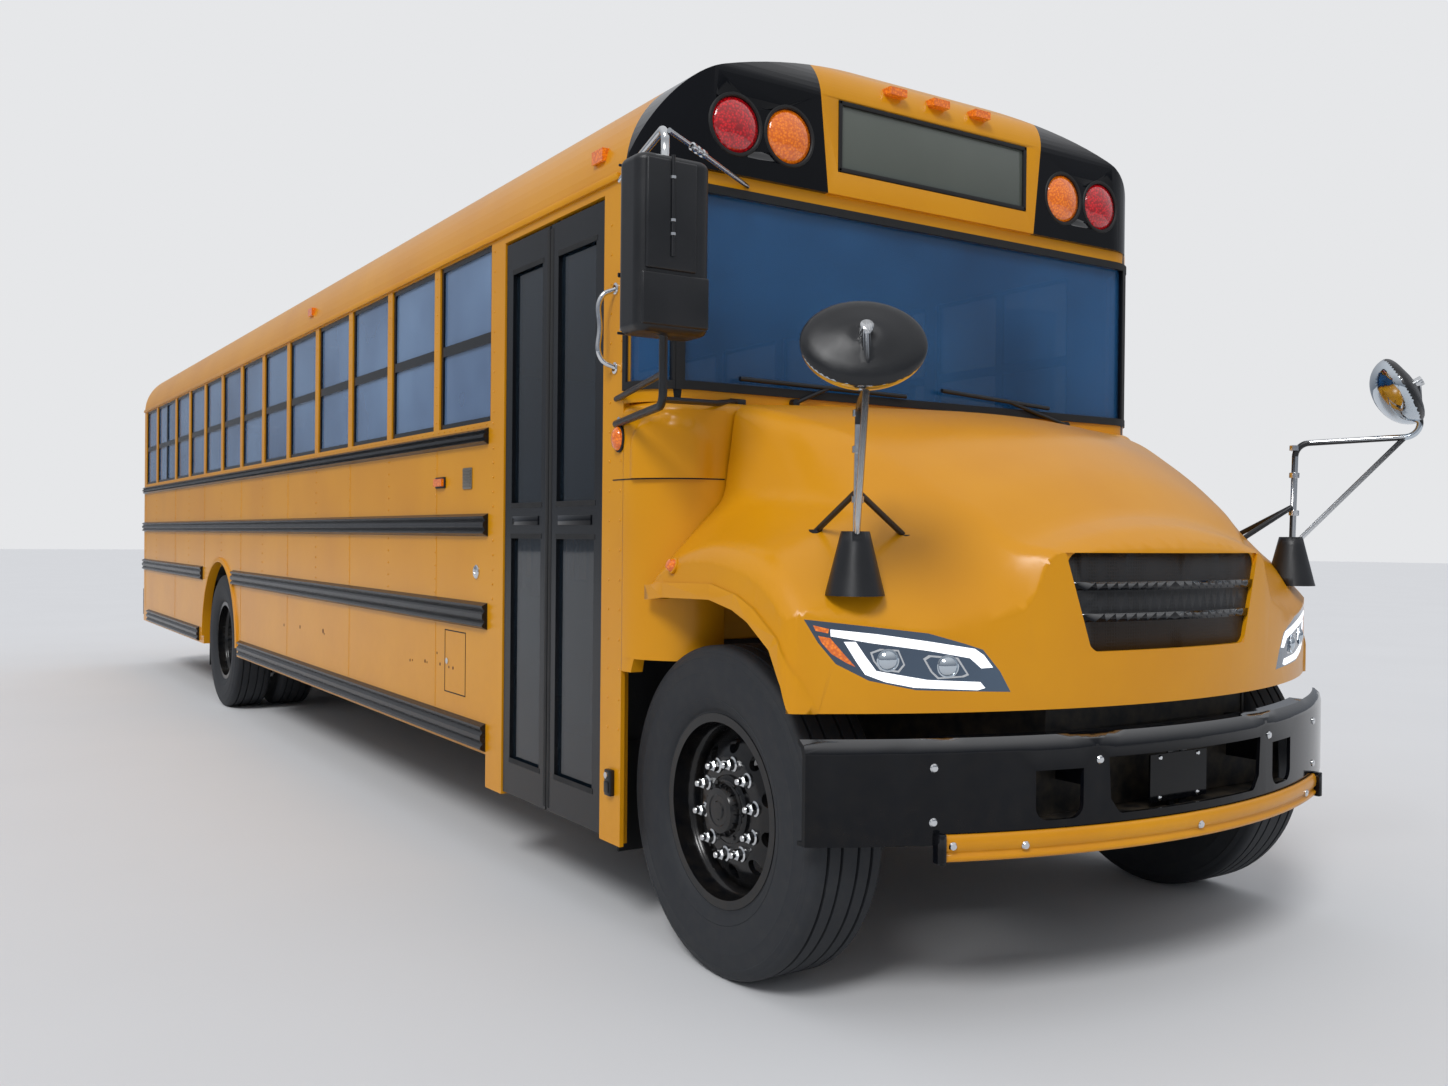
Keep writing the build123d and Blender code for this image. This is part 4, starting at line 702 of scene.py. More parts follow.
class SCHOOLBUS_OT_headlamps(bpy.types.Operator):
    """Builds the headlamps: light bands, two lenses, an amber corner and a dark base"""

    bl_idname = "schoolbus.headlamps"
    bl_label = "Headlamps"

    # Outlines seen from the front, as distance from the centre and height in millimetres
    TOP_BAND = [
        (1112, 1104), (996, 1091), (865, 1071), (734, 1049), (708, 1031), (681, 996),
        (715, 994), (748, 1023), (865, 1045), (1014, 1067), (1111, 1085),
    ]
    LOW_BAND = [
        (1079, 1070), (1050, 1070), (1026, 1031), (998, 990), (943, 979), (864, 964),
        (718, 956), (703, 939), (725, 933), (900, 943), (975, 959), (1026, 980), (1048, 1015),
    ]
    AMBER = [
        (1141, 1086), (1112, 1080), (1082, 1041), (1050, 1001), (1072, 1012), (1109, 1037),
        (1133, 1068),
    ]
    AMBER_TIP = [(1153, 1115), (1115, 1105), (1117, 1093), (1147, 1100)]
    LENSES = [
        [(1014, 1041), (989, 1051), (941, 1048), (924, 1006), (940, 985), (988, 992), (1006, 1017)],
        [(877, 1023), (862, 1033), (781, 1025), (750, 976), (765, 970), (837, 966), (856, 985)],
    ]
    EYES = [(969, 1019), (810, 1001)]
    # Piece, its outlines, how far it stands off the lamp, its thickness and its finish
    LAYERS = [
        ("headlamp_bands", [TOP_BAND, LOW_BAND], 0.001, 0.006, "light_guide"),
        ("headlamp_amber", [AMBER, AMBER_TIP], 0.0005, 0.004, "amber_lens"),
        ("headlamp_bezels", LENSES, 0.0005, 0.004, "chrome_plate"),
    ]
    PROJECTOR = [
        (0.032, 0.000), (0.032, 0.004), (0.028, 0.005), (0.027, 0.003), (0.020, 0.009),
        (0.010, 0.0125), (0, 0.0135),
    ]

    def execute(self, context):
        hull = surface("headlamps", "hood")
        redress(form_of("headlamps"), "headlamp_base", "headlamps", "lamp_cover")
        for name, outlines, lift, thick, surface_finish in self.LAYERS:
            bm = bmesh.new()
            for outline in outlines:
                for side in SIDES:
                    flat = [(side * y / 1000, z / 1000) for y, z in outline]
                    patch(bm, hull, flat, lift, thick)
            settle(bm, name, surface_finish, "hood_group")
        self.eyes(hull)
        return {"FINISHED"}

    def eyes(self, hull):
        """The domed projector lenses on dark plates inside the bezels."""
        plates, domes = bmesh.new(), bmesh.new()
        for outline, (eye_y, eye_z) in zip(self.LENSES, self.EYES):
            for side in SIDES:
                middle_y = sum(y for y, z in outline) / len(outline)
                middle_z = sum(z for y, z in outline) / len(outline)
                inner = [
                    (side * (middle_y + (y - middle_y) * 0.88) / 1000,
                     (middle_z + (z - middle_z) * 0.84) / 1000) for y, z in outline]
                patch(plates, hull, inner, 0.002, 0.003)
                spot = front_hit(hull, side * eye_y / 1000, eye_z / 1000)[0]
                out = Vector((0.86, side * 0.42, 0)).normalized()
                lathe(domes, self.PROJECTOR, spot, out, 28)
        settle(plates, "headlamp_wells", "lamp_cover", "hood_group")
        settle(domes, "headlamp_projectors", "mirror_glass", "hood_group")


class SCHOOLBUS_OT_nose_trim(bpy.types.Operator):
    """Dresses the grille's glossy bars, rounds its opening and adds the fender markers"""

    bl_idname = "schoolbus.nose_trim"
    bl_label = "Nose trim"

    # The grille bows forward to a radius, and its bars stand proud of its face
    BOW = 2.25
    FACE_X = 5.781
    BAR_X = 5.7815

    def execute(self, context):
        bm = form_of("grille")
        for face in bm.faces:
            proud = max(vert.co.x + self.BOW - self.bow(vert.co.y) for vert in face.verts)
            face.material_index = 1 if proud > self.BAR_X else 0
        finishes = "perforated_sheet black_enamel"
        redress(bm, "grille_dressed", "grille", finishes, weighted=False)
        hull = surface("hood")
        bm = bmesh.new()
        for side in SIDES:
            high, low = Vector((side * 0.456, 1.321)), Vector((side * 0.361, 1.030))
            self.corner(bm, hull, high, Vector((-side, 0)), low - high, 0.042)
            self.corner(bm, hull, low, Vector((-side, 0)), high - low, 0.050)
        settle(bm, "grille_corners", "yellow_enamel", "hood_group", 40)
        bases, lamps = [], []
        for side in SIDES:
            spot, out = (4.822, side * 1.2115, 1.262), (-0.09, side * 0.94, 0.34)
            bases.append(([(0.026, -0.003), (0.026, 0.003), (0.020, 0.005)], spot, out, 24))
            lamps.append((
                [(0.021, 0.0), (0.021, 0.008), (0.015, 0.020), (0, 0.024)], spot, out, 24))
        fill("fender_markers", "amber_lens", lathe, lamps, "hood_group", 40)
        fill("fender_marker_bases", "yellow_enamel", lathe, bases, "hood_group")
        return {"FINISHED"}

    def bow(self, y):
        """How far ahead of the bow's centre the grille is, at a place across."""
        return math.sqrt(self.BOW ** 2 - y * y)

    def corner(self, bm, hull, spot, across, along, radius):
        """A plate that rounds one corner of the grille's opening, given as (y, z)."""
        across, along = across.normalized(), along.normalized()
        half = across.angle(along) / 2
        centre = spot + (across + along).normalized() * radius / math.sin(half)
        first = spot + across * radius / math.tan(half) - centre
        last = spot + along * radius / math.tan(half) - centre
        hit = front_hit(hull, *(spot - (across + along) * 0.010))[0]
        outline = [spot - (across + along) * 0.002]
        outline += [
            centre + first.lerp(last, index / 8).normalized() * radius for index in range(9)]
        spots = []
        for y, z in outline:
            hood_x = hit.x + self.bow(y) - self.bow(hit.y)
            mesh_x = self.FACE_X - self.BOW + self.bow(y)
            spots.append((max(hood_x - 0.001, mesh_x), y, z))
        plate(bm, spots, (-0.018, 0, 0))


class SCHOOLBUS_OT_bumper_fittings(bpy.types.Operator):
    """Adds the front bumper's plated bolts, a dark plate behind it as painted shade, and the bar's
    end caps
    """

    bl_idname = "schoolbus.bumper_fittings"
    bl_label = "Bumper fittings"

    # Distance from the centre and height of each bolt
    BOLTS = [(-0.889, 0.731), (0.889, 0.731), (-0.391, 0.733), (0.416, 0.738), (-0.890, 0.583),
             (0.890, 0.583)]
    BAR_BOLTS = [(-0.850, 0.520), (-0.644, 0.512), (0.726, 0.509), (0.0, 0.512)]
    PLATE_BOLTS = [(-0.089, 0.5855), (0.089, 0.5855), (-0.089, 0.7065), (0.089, 0.7065)]
    # The arc inside the bumper's face, which the shelf under its openings follows
    ARC_X = 3.556
    ARC_RADIUS = 2.287
    SHELF_Z = 0.554

    def execute(self, context):
        sizes = context.scene.bus_fittings
        bm = bmesh.new()
        for node, spots in (("front_bumper", self.BOLTS), ("bumper_bar", self.BAR_BOLTS)):
            hull = surface(node)
            for y, z in spots:
                dome(bm, *front_hit(hull, y, z), sizes.bolt_radius, 0.008, 14)
        for y, z in self.PLATE_BOLTS:
            dome(bm, (5.794, y, z), (1, 0, 0), 0.008, 0.005, 12)
        settle(bm, "bumper_bolts", "chrome_plate")
        # A dark plate behind the openings, as painted shade for the voids there, and a shelf under
        # them
        bm = bmesh.new()
        block(bm, (5.690, -0.66, 0.558), (5.695, 0.66, 0.790), 0.001, 1)
        rows = [-0.66 + 0.11 * index for index in range(13)]
        rim = [
            (self.ARC_X + math.sqrt(self.ARC_RADIUS ** 2 - y * y), y, self.SHELF_Z) for y in rows]
        back = [(5.691, 0.66, self.SHELF_Z), (5.691, -0.66, self.SHELF_Z)]
        plate(bm, rim + back, (0, 0, 0.003))
        settle(bm, "bumper_shade_plate", "chassis_enamel")
        fill("bar_end_caps", "black_enamel", block, [
            ((5.676, side * 0.873, 0.472), (5.714, side * 0.892, 0.556), 0.004)
            for side in SIDES])
        return {"FINISHED"}


class SCHOOLBUS_OT_lamp_trim(bpy.types.Operator):
    """Adds rings round the warning lamps, the blank sign and bases under the side markers"""

    bl_idname = "schoolbus.lamp_trim"
    bl_label = "Lamp trim"

    RING = [
        (0.094, -0.012), (0.094, 0.006), (0.098, 0.010), (0.105, 0.010), (0.1095, 0.004),
        (0.1095, -0.004),
    ]

    def execute(self, context):
        rings = []
        for side in SIDES:
            for y in (0.909, 0.687):
                rings.append((self.RING, (LAMP_FACE_X - 0.006, side * y, LAMP_Z), (1, 0, 0), 56))
                rings.append((self.RING, (REAR_X - 0.034, side * y, LAMP_Z), (-1, 0, 0), 56))
        fill("lamp_rings", "seal_rubber", lathe, rings)
        # The blank sign is a grey glass in a rubber frame
        fill("sign_pane", "sign_glass", block, [
            ((4.6875, -0.462, 2.667), (4.6935, 0.462, 2.900), 0.012, 3)])
        fill("sign_seal", "seal_rubber", block, [
            ((4.688, *low), (4.7035, *high), 0.004) for low, high in (
                ((-0.472, 2.657), (0.472, 2.673)), ((-0.472, 2.894), (0.472, 2.910)),
                ((-0.472, 2.657), (-0.456, 2.910)), ((0.456, 2.657), (0.472, 2.910)))])
        fill("marker_bases", "seal_rubber", block, [
            ((x - 0.058, side * SKIN_Y, 1.560), (x + 0.058, side * 1.228, 1.610), 0.003)
            for side, x in ((-1, 2.786), (1, 2.450))])
        return {"FINISHED"}


class SCHOOLBUS_OT_cowl_trim(bpy.types.Operator):
    """Adds the cowl's raised corners, its seams, signals, a latch box and rivets"""

    bl_idname = "schoolbus.cowl_trim"
    bl_label = "Cowl trim"

    CORNER = (4.504, 0.970)
    CORNER_RADIUS = 0.2510
    SEAM_Z = 1.544
    SIGNAL_X = 4.477
    SIGNAL_Z = 1.683

    def execute(self, context):
        skins, seams = bmesh.new(), bmesh.new()
        for side in SIDES:
            self.corner_skin(skins, side, 0.946, self.SEAM_Z - 0.002, 0.0)
            self.corner_skin(skins, side, self.SEAM_Z + 0.002, 1.770, 0.017)
            self.seam(seams, side, self.SEAM_Z)
        settle(skins, "cowl_corners", "yellow_enamel", sharp=40)
        settle(seams, "cowl_seams", "seal_rubber")
        self.signals()
        self.latch_and_rivets()
        return {"FINISHED"}

    def around(self, side, angle, radius, z):
        """A point round the corner: angle 0 is the side and 90 the front."""
        turn = math.radians(angle)
        x = self.CORNER[0] + radius * math.sin(turn)
        return Vector((x, side * (self.CORNER[1] + radius * math.cos(turn)), z))

    def corner_skin(self, bm, side, low, high, lift):
        """The corner's panel between two heights; lift is the height of its arched swelling."""
        made = bmesh.new()
        bmesh.ops.create_grid(made, x_segments=40, y_segments=24, size=1.0)
        for vert in made.verts:
            across, rise = vert.co.x / 0.80, vert.co.y / 0.88
            reach = abs(across) if rise < 0 else math.hypot(across, rise)
            edge = 0.16 if across < 0 else 0.45
            share = min(max((1 - reach) / edge, 0.0), 1.0)
            swell = 0.0008 + lift * share * share * (3 - 2 * share)
            z = low + (high - low) * (vert.co.y + 1) / 2
            vert.co = self.around(side, 45 + 44 * vert.co.x, self.CORNER_RADIUS + swell, z)
        bmesh.ops.recalc_face_normals(made, faces=made.faces)
        bmesh.ops.solidify(made, geom=made.faces[:], thickness=0.003)
        merge(bm, made)

    def seam(self, bm, side, z):
        """A dark line along the side and round the corner."""
        low, high = z - 0.002, z + 0.002
        block(bm, (4.430, side * UNDER_SKIN_Y, low), (self.CORNER[0], side * 1.2213, high))
        outline = [(0.2495, low), (0.2535, low), (0.2535, high), (0.2495, high)]
        spots = [self.around(side, 0, radius, height) for radius, height in outline]
        centre = (self.CORNER[0], side * self.CORNER[1], z)
        sweep(bm, spots, centre, (0, 0, -side), math.radians(88), 24)

    def signals(self):
        """An oval amber signal on each front post, with a rubber foot and a clip over it."""
        lamps, feet, clips = bmesh.new(), bmesh.new(), bmesh.new()
        for side in SIDES:
            spot, out = (self.SIGNAL_X, side * SKIN_Y, self.SIGNAL_Z), (0, side, 0)
            lathe(feet, [(0.036, -0.001), (0.036, 0.006), (0.031, 0.009)], spot, out, 32)
            lathe(lamps, [(0.031, 0.0), (0.031, 0.012), (0.025, 0.022), (0.012, 0.027),
                          (0, 0.028)], spot, out, 32)
            lathe(clips, [(0.012, -0.001), (0.012, 0.006), (0, 0.008)],
                  (self.SIGNAL_X, side * SKIN_Y, 1.744), out, 16)
        for group in (lamps, feet):
            bmesh.ops.scale(
                group, vec=(1, 1, 1.3), verts=group.verts,
                space=Matrix.Translation((0, 0, -self.SIGNAL_Z)))
        settle(lamps, "post_signals", "amber_lens", sharp=40)
        settle(feet, "post_signal_feet", "seal_rubber")
        settle(clips, "post_signal_clips", "chrome_plate")

    def latch_and_rivets(self):
        """The latch at the foot of the right front post, and the posts' rivets."""
        fill("post_latch_box", "black_polypropylene", block, [
            ((4.420, -UNDER_SKIN_Y, 0.470), (4.462, -1.2400, 0.560), 0.005),
            ((4.426, -1.2395, 0.482), (4.456, -1.2440, 0.520), 0.003)])
        knob = [(0.011, -0.001), (0.011, 0.006), (0, 0.008)]
        fill("post_latch_knob", "chrome_plate", lathe, [
            (knob, (4.441, -1.2400, 0.541), (0, -1, 0), 16)])
        fill("post_rivets", "yellow_enamel", dome, [
            ((x, side * SKIN_Y, 0.70 + 0.101 * index), (0, side, 0), 0.005, 0.003, 6)
            for side in SIDES for x in (4.405, 4.482) for index in range(18)], sharp=40)


class SCHOOLBUS_OT_side_trim(bpy.types.Operator):
    """Adds gutters, lap seams, rivets, the wheel arch trim and the small side fittings"""

    bl_idname = "schoolbus.side_trim"
    bl_label = "Side trim"

    # Low and high ends of the lap strips; the lowest stops clear of the rear wheels
    LAPS = [(0.572, 0.955), (1.446, 1.726), (1.073, 1.343)]
    WHEEL_CLEAR = 0.66
    RIVET_ROWS = (1.47, 1.53, 1.59, 1.65, 1.71, 1.09, 1.15, 1.21, 1.27, 1.33)
    # The window header's rivets: ends of the row, height and count
    HEADER = (REAR_X + 0.06, 3.38, 1.812, 130)
    ARCH_CENTRE = Vector((-2.010, 0, 0.505))
    ARCH_TRIM = [
        (0.616, 1.2190), (0.616, 1.2340), (0.622, 1.2370), (0.648, 1.2330), (0.652, 1.2190),
    ]
    LATCH = [
        (0.030, -0.001), (0.030, 0.004), (0.026, 0.007), (0.012, 0.0075), (0.010, 0.004),
        (0, 0.004),
    ]
    # Rust spots low on the right side: place along the side, height and radius
    RUST = [
        (-0.021, 0.761, 0.011), (0.370, 0.774, 0.013), (0.880, 0.784, 0.016), (0.905, 0.770, 0.008),
        (2.386, 0.749, 0.008), (2.420, 0.752, 0.006), (2.593, 0.763, 0.010), (2.620, 0.760, 0.006),
        (2.789, 0.767, 0.009), (2.750, 0.814, 0.007), (2.900, 0.764, 0.007), (2.950, 0.764, 0.009),
    ]

    def execute(self, context):
        self.seams()
        self.rivets(context.scene.bus_fittings.rivet_radius)
        self.arch_trim()
        self.fittings()
        return {"FINISHED"}

    def seams(self):
        """Rain gutters at the eaves, and lap strips where the side panels meet."""
        bm = bmesh.new()
        for side in SIDES:
            under = side * UNDER_SKIN_Y
            block(bm, (REAR_X + 0.01, under, 2.560), (4.46, side * 1.233, 2.586), 0.004)
            for x in PILLAR_X[1::2]:
                laps = self.LAPS if abs(x - REAR_AXLE_X) > self.WHEEL_CLEAR else self.LAPS[1:]
                for low, high in laps:
                    block(bm, (x - 0.014, under, low), (x + 0.014, side * 1.2215, high), 0.0006, 1)
        settle(bm, "panel_seams", "yellow_enamel")

    def rivets(self, radius):
        """Rows of rivet heads up each pillar and along the window header."""
        rows = []
        for side in SIDES:
            shape = ((0, side, 0), radius, 0.003, 6)
            for x in PILLAR_X:
                rows += [((x, side * SKIN_Y, 1.86 + 0.082 * index), *shape) for index in range(9)]
                rows += [((x, side * 1.2212, z), *shape) for z in self.RIVET_ROWS]
            start, end, z, count = self.HEADER
            for index in range(count):
                x = start + (end - start) * index / (count - 1)
                rows.append(((x, side * SKIN_Y, z), *shape))
        fill("body_rivets", "yellow_enamel", dome, rows, sharp=40)

    def arch_trim(self):
        """The raised trim round each rear wheel opening."""
        bm = bmesh.new()
        for side in SIDES:
            spots = [
                self.ARCH_CENTRE + Vector((-radius, side * reach, 0))
                for radius, reach in self.ARCH_TRIM]
            sweep(bm, spots, self.ARCH_CENTRE, (0, 1, 0), math.pi, 48)
        settle(bm, "rear_arch_trim", "yellow_enamel")

    def fittings(self):
        """The vent, the latches, the compartment door and the rust of the right side."""
        slats = [1.558 + 0.0135 * index for index in range(6)]
        fill("side_vent", "aluminised_steel", block, [
            ((3.058, -UNDER_SKIN_Y, 1.548), (3.158, -1.2260, 1.640), 0.003)] + [
            ((3.066, -1.2250, z), (3.150, -1.2300, z + 0.005), 0.001, 1) for z in slats])
        fill("compartment_gap", "seal_rubber", block, [
            ((left, -1.2190, low), (right, -1.2212, high), 0.0004, 1)
            for left, low, right, high in (
                (2.848, 0.652, 2.853, 0.930), (3.093, 0.652, 3.098, 0.930),
                (2.848, 0.652, 3.098, 0.657), (2.848, 0.925, 3.098, 0.930))])
        out = (0, -1, 0)
        fill("side_latches", "chrome_plate", lathe, [
            (self.LATCH, (3.215, -SKIN_Y, 1.196), out, 24),
            ([(0.014, -0.001), (0.014, 0.004), (0, 0.005)], (2.88, -SKIN_Y, 0.79), out, 16)])
        fill("rust_spots", "rust_stain", lathe, [
            ([(size, -0.0004), (size * 0.8, 0.0006), (size * 0.4, 0.0004), (0, 0.0008)],
             (x, -SKIN_Y, z), out, 9) for x, z, size in self.RUST], sharp=60)


class SCHOOLBUS_OT_mirrors(bpy.types.Operator):
    """Dresses the side mirrors and the cross view mirrors"""

    bl_idname = "schoolbus.mirrors"
    bl_label = "Mirrors"

    # The cross view heads: how the left one faces, where both are and how wide
    HEAD_FACING = Vector((0.742, 0.471, 0.477)).normalized()
    HEAD_SPOT = (5.826, 1.266)
    HEAD_Z = {1: 1.928, -1: 1.868}
    HEAD_RADIUS = 0.175
    # The side mirrors: both sides of a head, and the ridge down its front
    HEAD_Y = (1.243, 1.457)
    RIDGE_Y = 1.37
    BRACE = [(5.00, -1.345, 2.560), (4.90, -1.20, 2.562), (4.685, -0.850, 2.545)]
    STRUT = [(4.985, -1.350, 1.762), (4.76, -1.02, 1.792), (4.684, -0.890, 1.812)]

    def execute(self, context):
        self.cross_view()
        self.side_heads()
        return {"FINISHED"}

    def cross_view(self):
        """Tubes plated above, sleeved below, black cones and backs, and bright domes."""
        bm = form_of("crossview_mirrors")
        for face in bm.faces:
            spot = face.calc_center_median()
            side = 1 if spot.y > 0 else -1
            head = Vector((self.HEAD_SPOT[0], side * self.HEAD_SPOT[1], self.HEAD_Z[side]))
            out = Vector((self.HEAD_FACING.x, side * self.HEAD_FACING.y, self.HEAD_FACING.z))
            reach = (spot - head).dot(out)
            spread = (spot - head - out * reach).length
            if spread < self.HEAD_RADIUS and -0.2 < reach < -0.005:
                face.material_index = 2 if reach < -0.060 else 0
            else:
                face.material_index = 1 if spot.z > 1.725 or 1.46 < spot.z < 1.60 else 0
        finishes = "black_polypropylene chrome_plate mirror_glass"
        redress(bm, "crossview_dressed", "crossview_mirrors", finishes)
        clamp = [(0.0115, -0.011), (0.0175, -0.009), (0.0175, 0.009), (0.0115, 0.011)]
        fill("crossview_clamps", "chrome_plate", lathe, [
            (clamp, (5.508, side * 1.028, z), (0.03, 0, 1), 20)
            for side in SIDES for z in (1.462, 1.60, 1.70)], "hood_group")

    def side_heads(self):
        """Smooth heads with two mirror glasses behind and a grooved front."""
        bm = form_of("side_mirrors")
        for face in bm.faces:
            face.material_index = 1 if face.calc_center_median().z > 2.474 else 0
        redress(bm, "side_mirror_form", "side_mirrors", "black_polypropylene chrome_plate")
        glass, shell, fronts, clamps = (bmesh.new() for _ in range(4))
        for side in SIDES:
            inner, outer = (side * y for y in self.HEAD_Y)
            low, high = sorted((inner, outer))
            for base, top in ((2.142, 2.452), (1.966, 2.122)):
                block(glass, (self.fold(4.9085, side), inner, base),
                      (self.fold(4.9115, side), outer, top), 0.014, 3)
            for base, top in ((1.955, 1.963), (2.125, 2.139), (2.455, 2.463)):
                block(shell, (self.fold(4.9060, side), low - 0.008, base),
                      (self.fold(4.9125, side), high + 0.008, top), 0.002)
            for x, outer, inner, base, top in (
                    (5.0665, 1.455, 1.285, 2.130, 2.452), (5.0655, 1.468, 1.240, 1.968, 2.122)):
                block(fronts, (self.fold(5.050, side), side * inner, base),
                      (self.fold(x, side), side * outer, top), 0.007, 3)
            x, y = self.fold(5.068, side), side * self.RIDGE_Y
            tube(fronts, [(x, y, 2.465), (x, y, 2.170)], 0.006, smooth=False)
            for z in (2.400, 2.275, 2.235):
                lathe(clamps, [(0.006, -0.005), (0.009, -0.004), (0.009, 0.004), (0.006, 0.005)],
                      (x, y, z), (0, 0, 1), 14)
        settle(glass, "side_mirror_glass", "mirror_glass")
        settle(shell, "side_mirror_beads", "black_polypropylene")
        settle(fronts, "side_mirror_fronts", "black_polypropylene")
        # The right mirror's brace to the cap over the windshield, and its strut to the cowl
        bm = bmesh.new()
        tube(bm, self.BRACE, 0.008, smooth=False)
        for reach in (0.28, 0.34, 0.40):
            spot = Vector(self.BRACE[0]).lerp((4.685, -0.850, 2.550), reach)
            lathe(clamps, [(0.008, -0.012), (0.013, -0.009), (0.013, 0.009), (0.008, 0.012)],
                  spot, (-0.54, 0.84, 0), 14)
        settle(bm, "side_mirror_brace", "chrome_plate")
        settle(clamps, "side_mirror_clamps", "chrome_plate")
        bm = bmesh.new()
        tube(bm, self.STRUT, 0.010, smooth=False)
        block(bm, (4.679, -0.915, 1.795), (4.690, -0.850, 1.822), 0.004)
        settle(bm, "side_mirror_strut", "black_polypropylene")

    def fold(self, x, side):
        """A place along the bus on a mirror's head; the left one is folded back."""
        return 2 * MIRROR_HINGE_X - x if side > 0 else x


class SCHOOLBUS_OT_door_fittings(bpy.types.Operator):
    """Adds rubber edges and push bars to the entry door, and the grab handle beside it"""

    bl_idname = "schoolbus.door_fittings"
    bl_label = "Door fittings"

    # Leaf, its inner edge, the side that the edge's rubber is on, and both sides of its panes
    LEAVES = [("front", 3.914, 1, 3.9765, 4.282), ("rear", 3.902, -1, 3.562, 3.840)]
    PANE_ENDS = (0.455, 1.350, 1.470, 2.400)
    HANDLE = [
        (4.440, -1.216, 2.195), (4.424, -1.266, 2.165), (4.420, -1.270, 2.06),
        (4.424, -1.266, 1.955), (4.440, -1.216, 1.925),
    ]

    def execute(self, context):
        for name, seam, out, left, right in self.LEAVES:
            rubber = [
                ((seam + out * 0.022, -1.2165, 0.330), (seam - out * 0.003, -1.2100, 2.506), 0.002)]
            rubber += [
                ((left - 0.004, -1.2165, z - 0.010), (right + 0.008, -1.2145, z + 0.010), 0.0008, 1)
                for z in self.PANE_ENDS]
            fill("door_rubber_" + name, "seal_rubber", block, rubber, "entry_leaf_" + name)
            fill("door_bar_" + name, "black_enamel", block, [
                ((left + 0.02, -UNDER_SKIN_Y, 1.392), (right - 0.02, -1.2145, 1.428), 0.002)],
                "entry_leaf_" + name)
        bm = bmesh.new()
        tube(bm, self.HANDLE, 0.009)
        for x, y, z in (self.HANDLE[0], self.HANDLE[-1]):
            foot = [(0.020, -0.001), (0.020, 0.004), (0.012, 0.007)]
            lathe(bm, foot, (x, -SKIN_Y, z), (0, -1, 0), 20)
        settle(bm, "entry_grab_handle", "chrome_plate")
        return {"FINISHED"}


class SCHOOLBUS_OT_seats(bpy.types.Operator):
    """Makes the padded benches and the driver's chair"""

    bl_idname = "schoolbus.seats"
    bl_label = "Seats"

    ROWS = [2.900 - 0.700 * row for row in range(12)]
    BACK_LEAN = math.radians(-82)
    FLOOR_Z = 1.0
    # The post of the driver's chair
    POST = [(0.13, 1.0), (0.13, 1.015), (0.05, 1.03), (0.05, 1.40), (0.09, 1.43)]

    def pad(self, bm, x, y, z, thick, lean):
        """One pad: a block with wide round edges."""
        made = bmesh.new()
        bmesh.ops.create_cube(made, size=1.0)
        bmesh.ops.scale(made, vec=(x[1] - x[0], y[1] - y[0], thick), verts=made.verts)
        round_off(made, made.edges, min(0.03, thick * 0.35), 3)
        turn = Matrix.Rotation(lean, 3, "Y")
        bmesh.ops.rotate(made, verts=made.verts, cent=(0, 0, 0), matrix=turn)
        centre = ((x[0] + x[1]) / 2, (y[0] + y[1]) / 2, z)
        bmesh.ops.translate(made, verts=made.verts, vec=centre)
        merge(bm, made)

    def seat(self, bm, x, y, seat_z, back_z, back_x):
        """A seat's cushion and its leaning back."""
        self.pad(bm, x, y, seat_z, 0.085, 0.0)
        self.pad(bm, back_x, y, back_z, 0.090, self.BACK_LEAN)

    def execute(self, context):
        pads, legs = bmesh.new(), bmesh.new()
        floor = self.FLOOR_Z
        for x in self.ROWS:
            for side in SIDES:
                y = sorted((side * 0.165, side * 1.145))
                self.seat(pads, (x + 0.01, x + 0.43), y, 1.430, 1.745, (x - 0.32, x + 0.34))
                # The outer legs stand clear of the wheel housings
                outer = 0.50 if abs(x + 0.22 - REAR_AXLE_X) < 0.54 else 1.09
                for leg_y in (side * 0.22, side * outer):
                    for leg_x in (x + 0.10, x + 0.36):
                        block(legs, (leg_x - 0.015, leg_y - 0.015, floor),
                              (leg_x + 0.015, leg_y + 0.015, 1.39), 0.004, 1)
                    block(legs, (x + 0.08, leg_y - 0.02, floor),
                          (x + 0.38, leg_y + 0.02, 1.012), 0.003, 1)
        self.seat(pads, (3.57, 3.99), (0.365, 0.855), 1.470, 1.785, (3.24, 3.90))
        lathe(legs, self.POST, (3.78, 0.61, 0), (0, 0, 1), 24)
        cushions = settle(pads, "seat_cushions", "seat_vinyl", sharp=60)
        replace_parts(cushions, "seats")
        settle(legs, "seat_legs", "chassis_enamel")
        return {"FINISHED"}


class SCHOOLBUS_OT_rear_trim(bpy.types.Operator):
    """Adds the rear door's handle and hinges, and the reflectors"""

    bl_idname = "schoolbus.rear_trim"
    bl_label = "Rear trim"

    PIN = [(0, -0.055), (0.008, -0.055), (0.008, 0.055), (0, 0.055)]
    # The handle's corners: reach from the rear face and place across
    HANDLE = [(0.004, 0.30), (-0.04, 0.30), (-0.04, 0.20), (0.004, 0.20)]

    def execute(self, context):
        bm = bmesh.new()
        for z in (1.25, 1.75, 2.25):
            low, high = (REAR_X - 0.012, -0.372, z - 0.05), (REAR_X + 0.004, -0.330, z + 0.05)
            block(bm, low, high, 0.003)
            lathe(bm, self.PIN, (REAR_X - 0.008, -0.376, z), (0, 0, 1), 14)
        tube(bm, [(REAR_X + reach, y, 1.72) for reach, y in self.HANDLE], 0.009, smooth=False)
        settle(bm, "rear_door_hardware", "chrome_plate", "rear_exit")
        fill("rear_reflectors", "red_lens", block, [
            ((REAR_X - 0.006, side * 1.02, 0.860), (REAR_X + 0.001, side * 1.10, 0.940), 0.002)
            for side in SIDES])
        return {"FINISHED"}


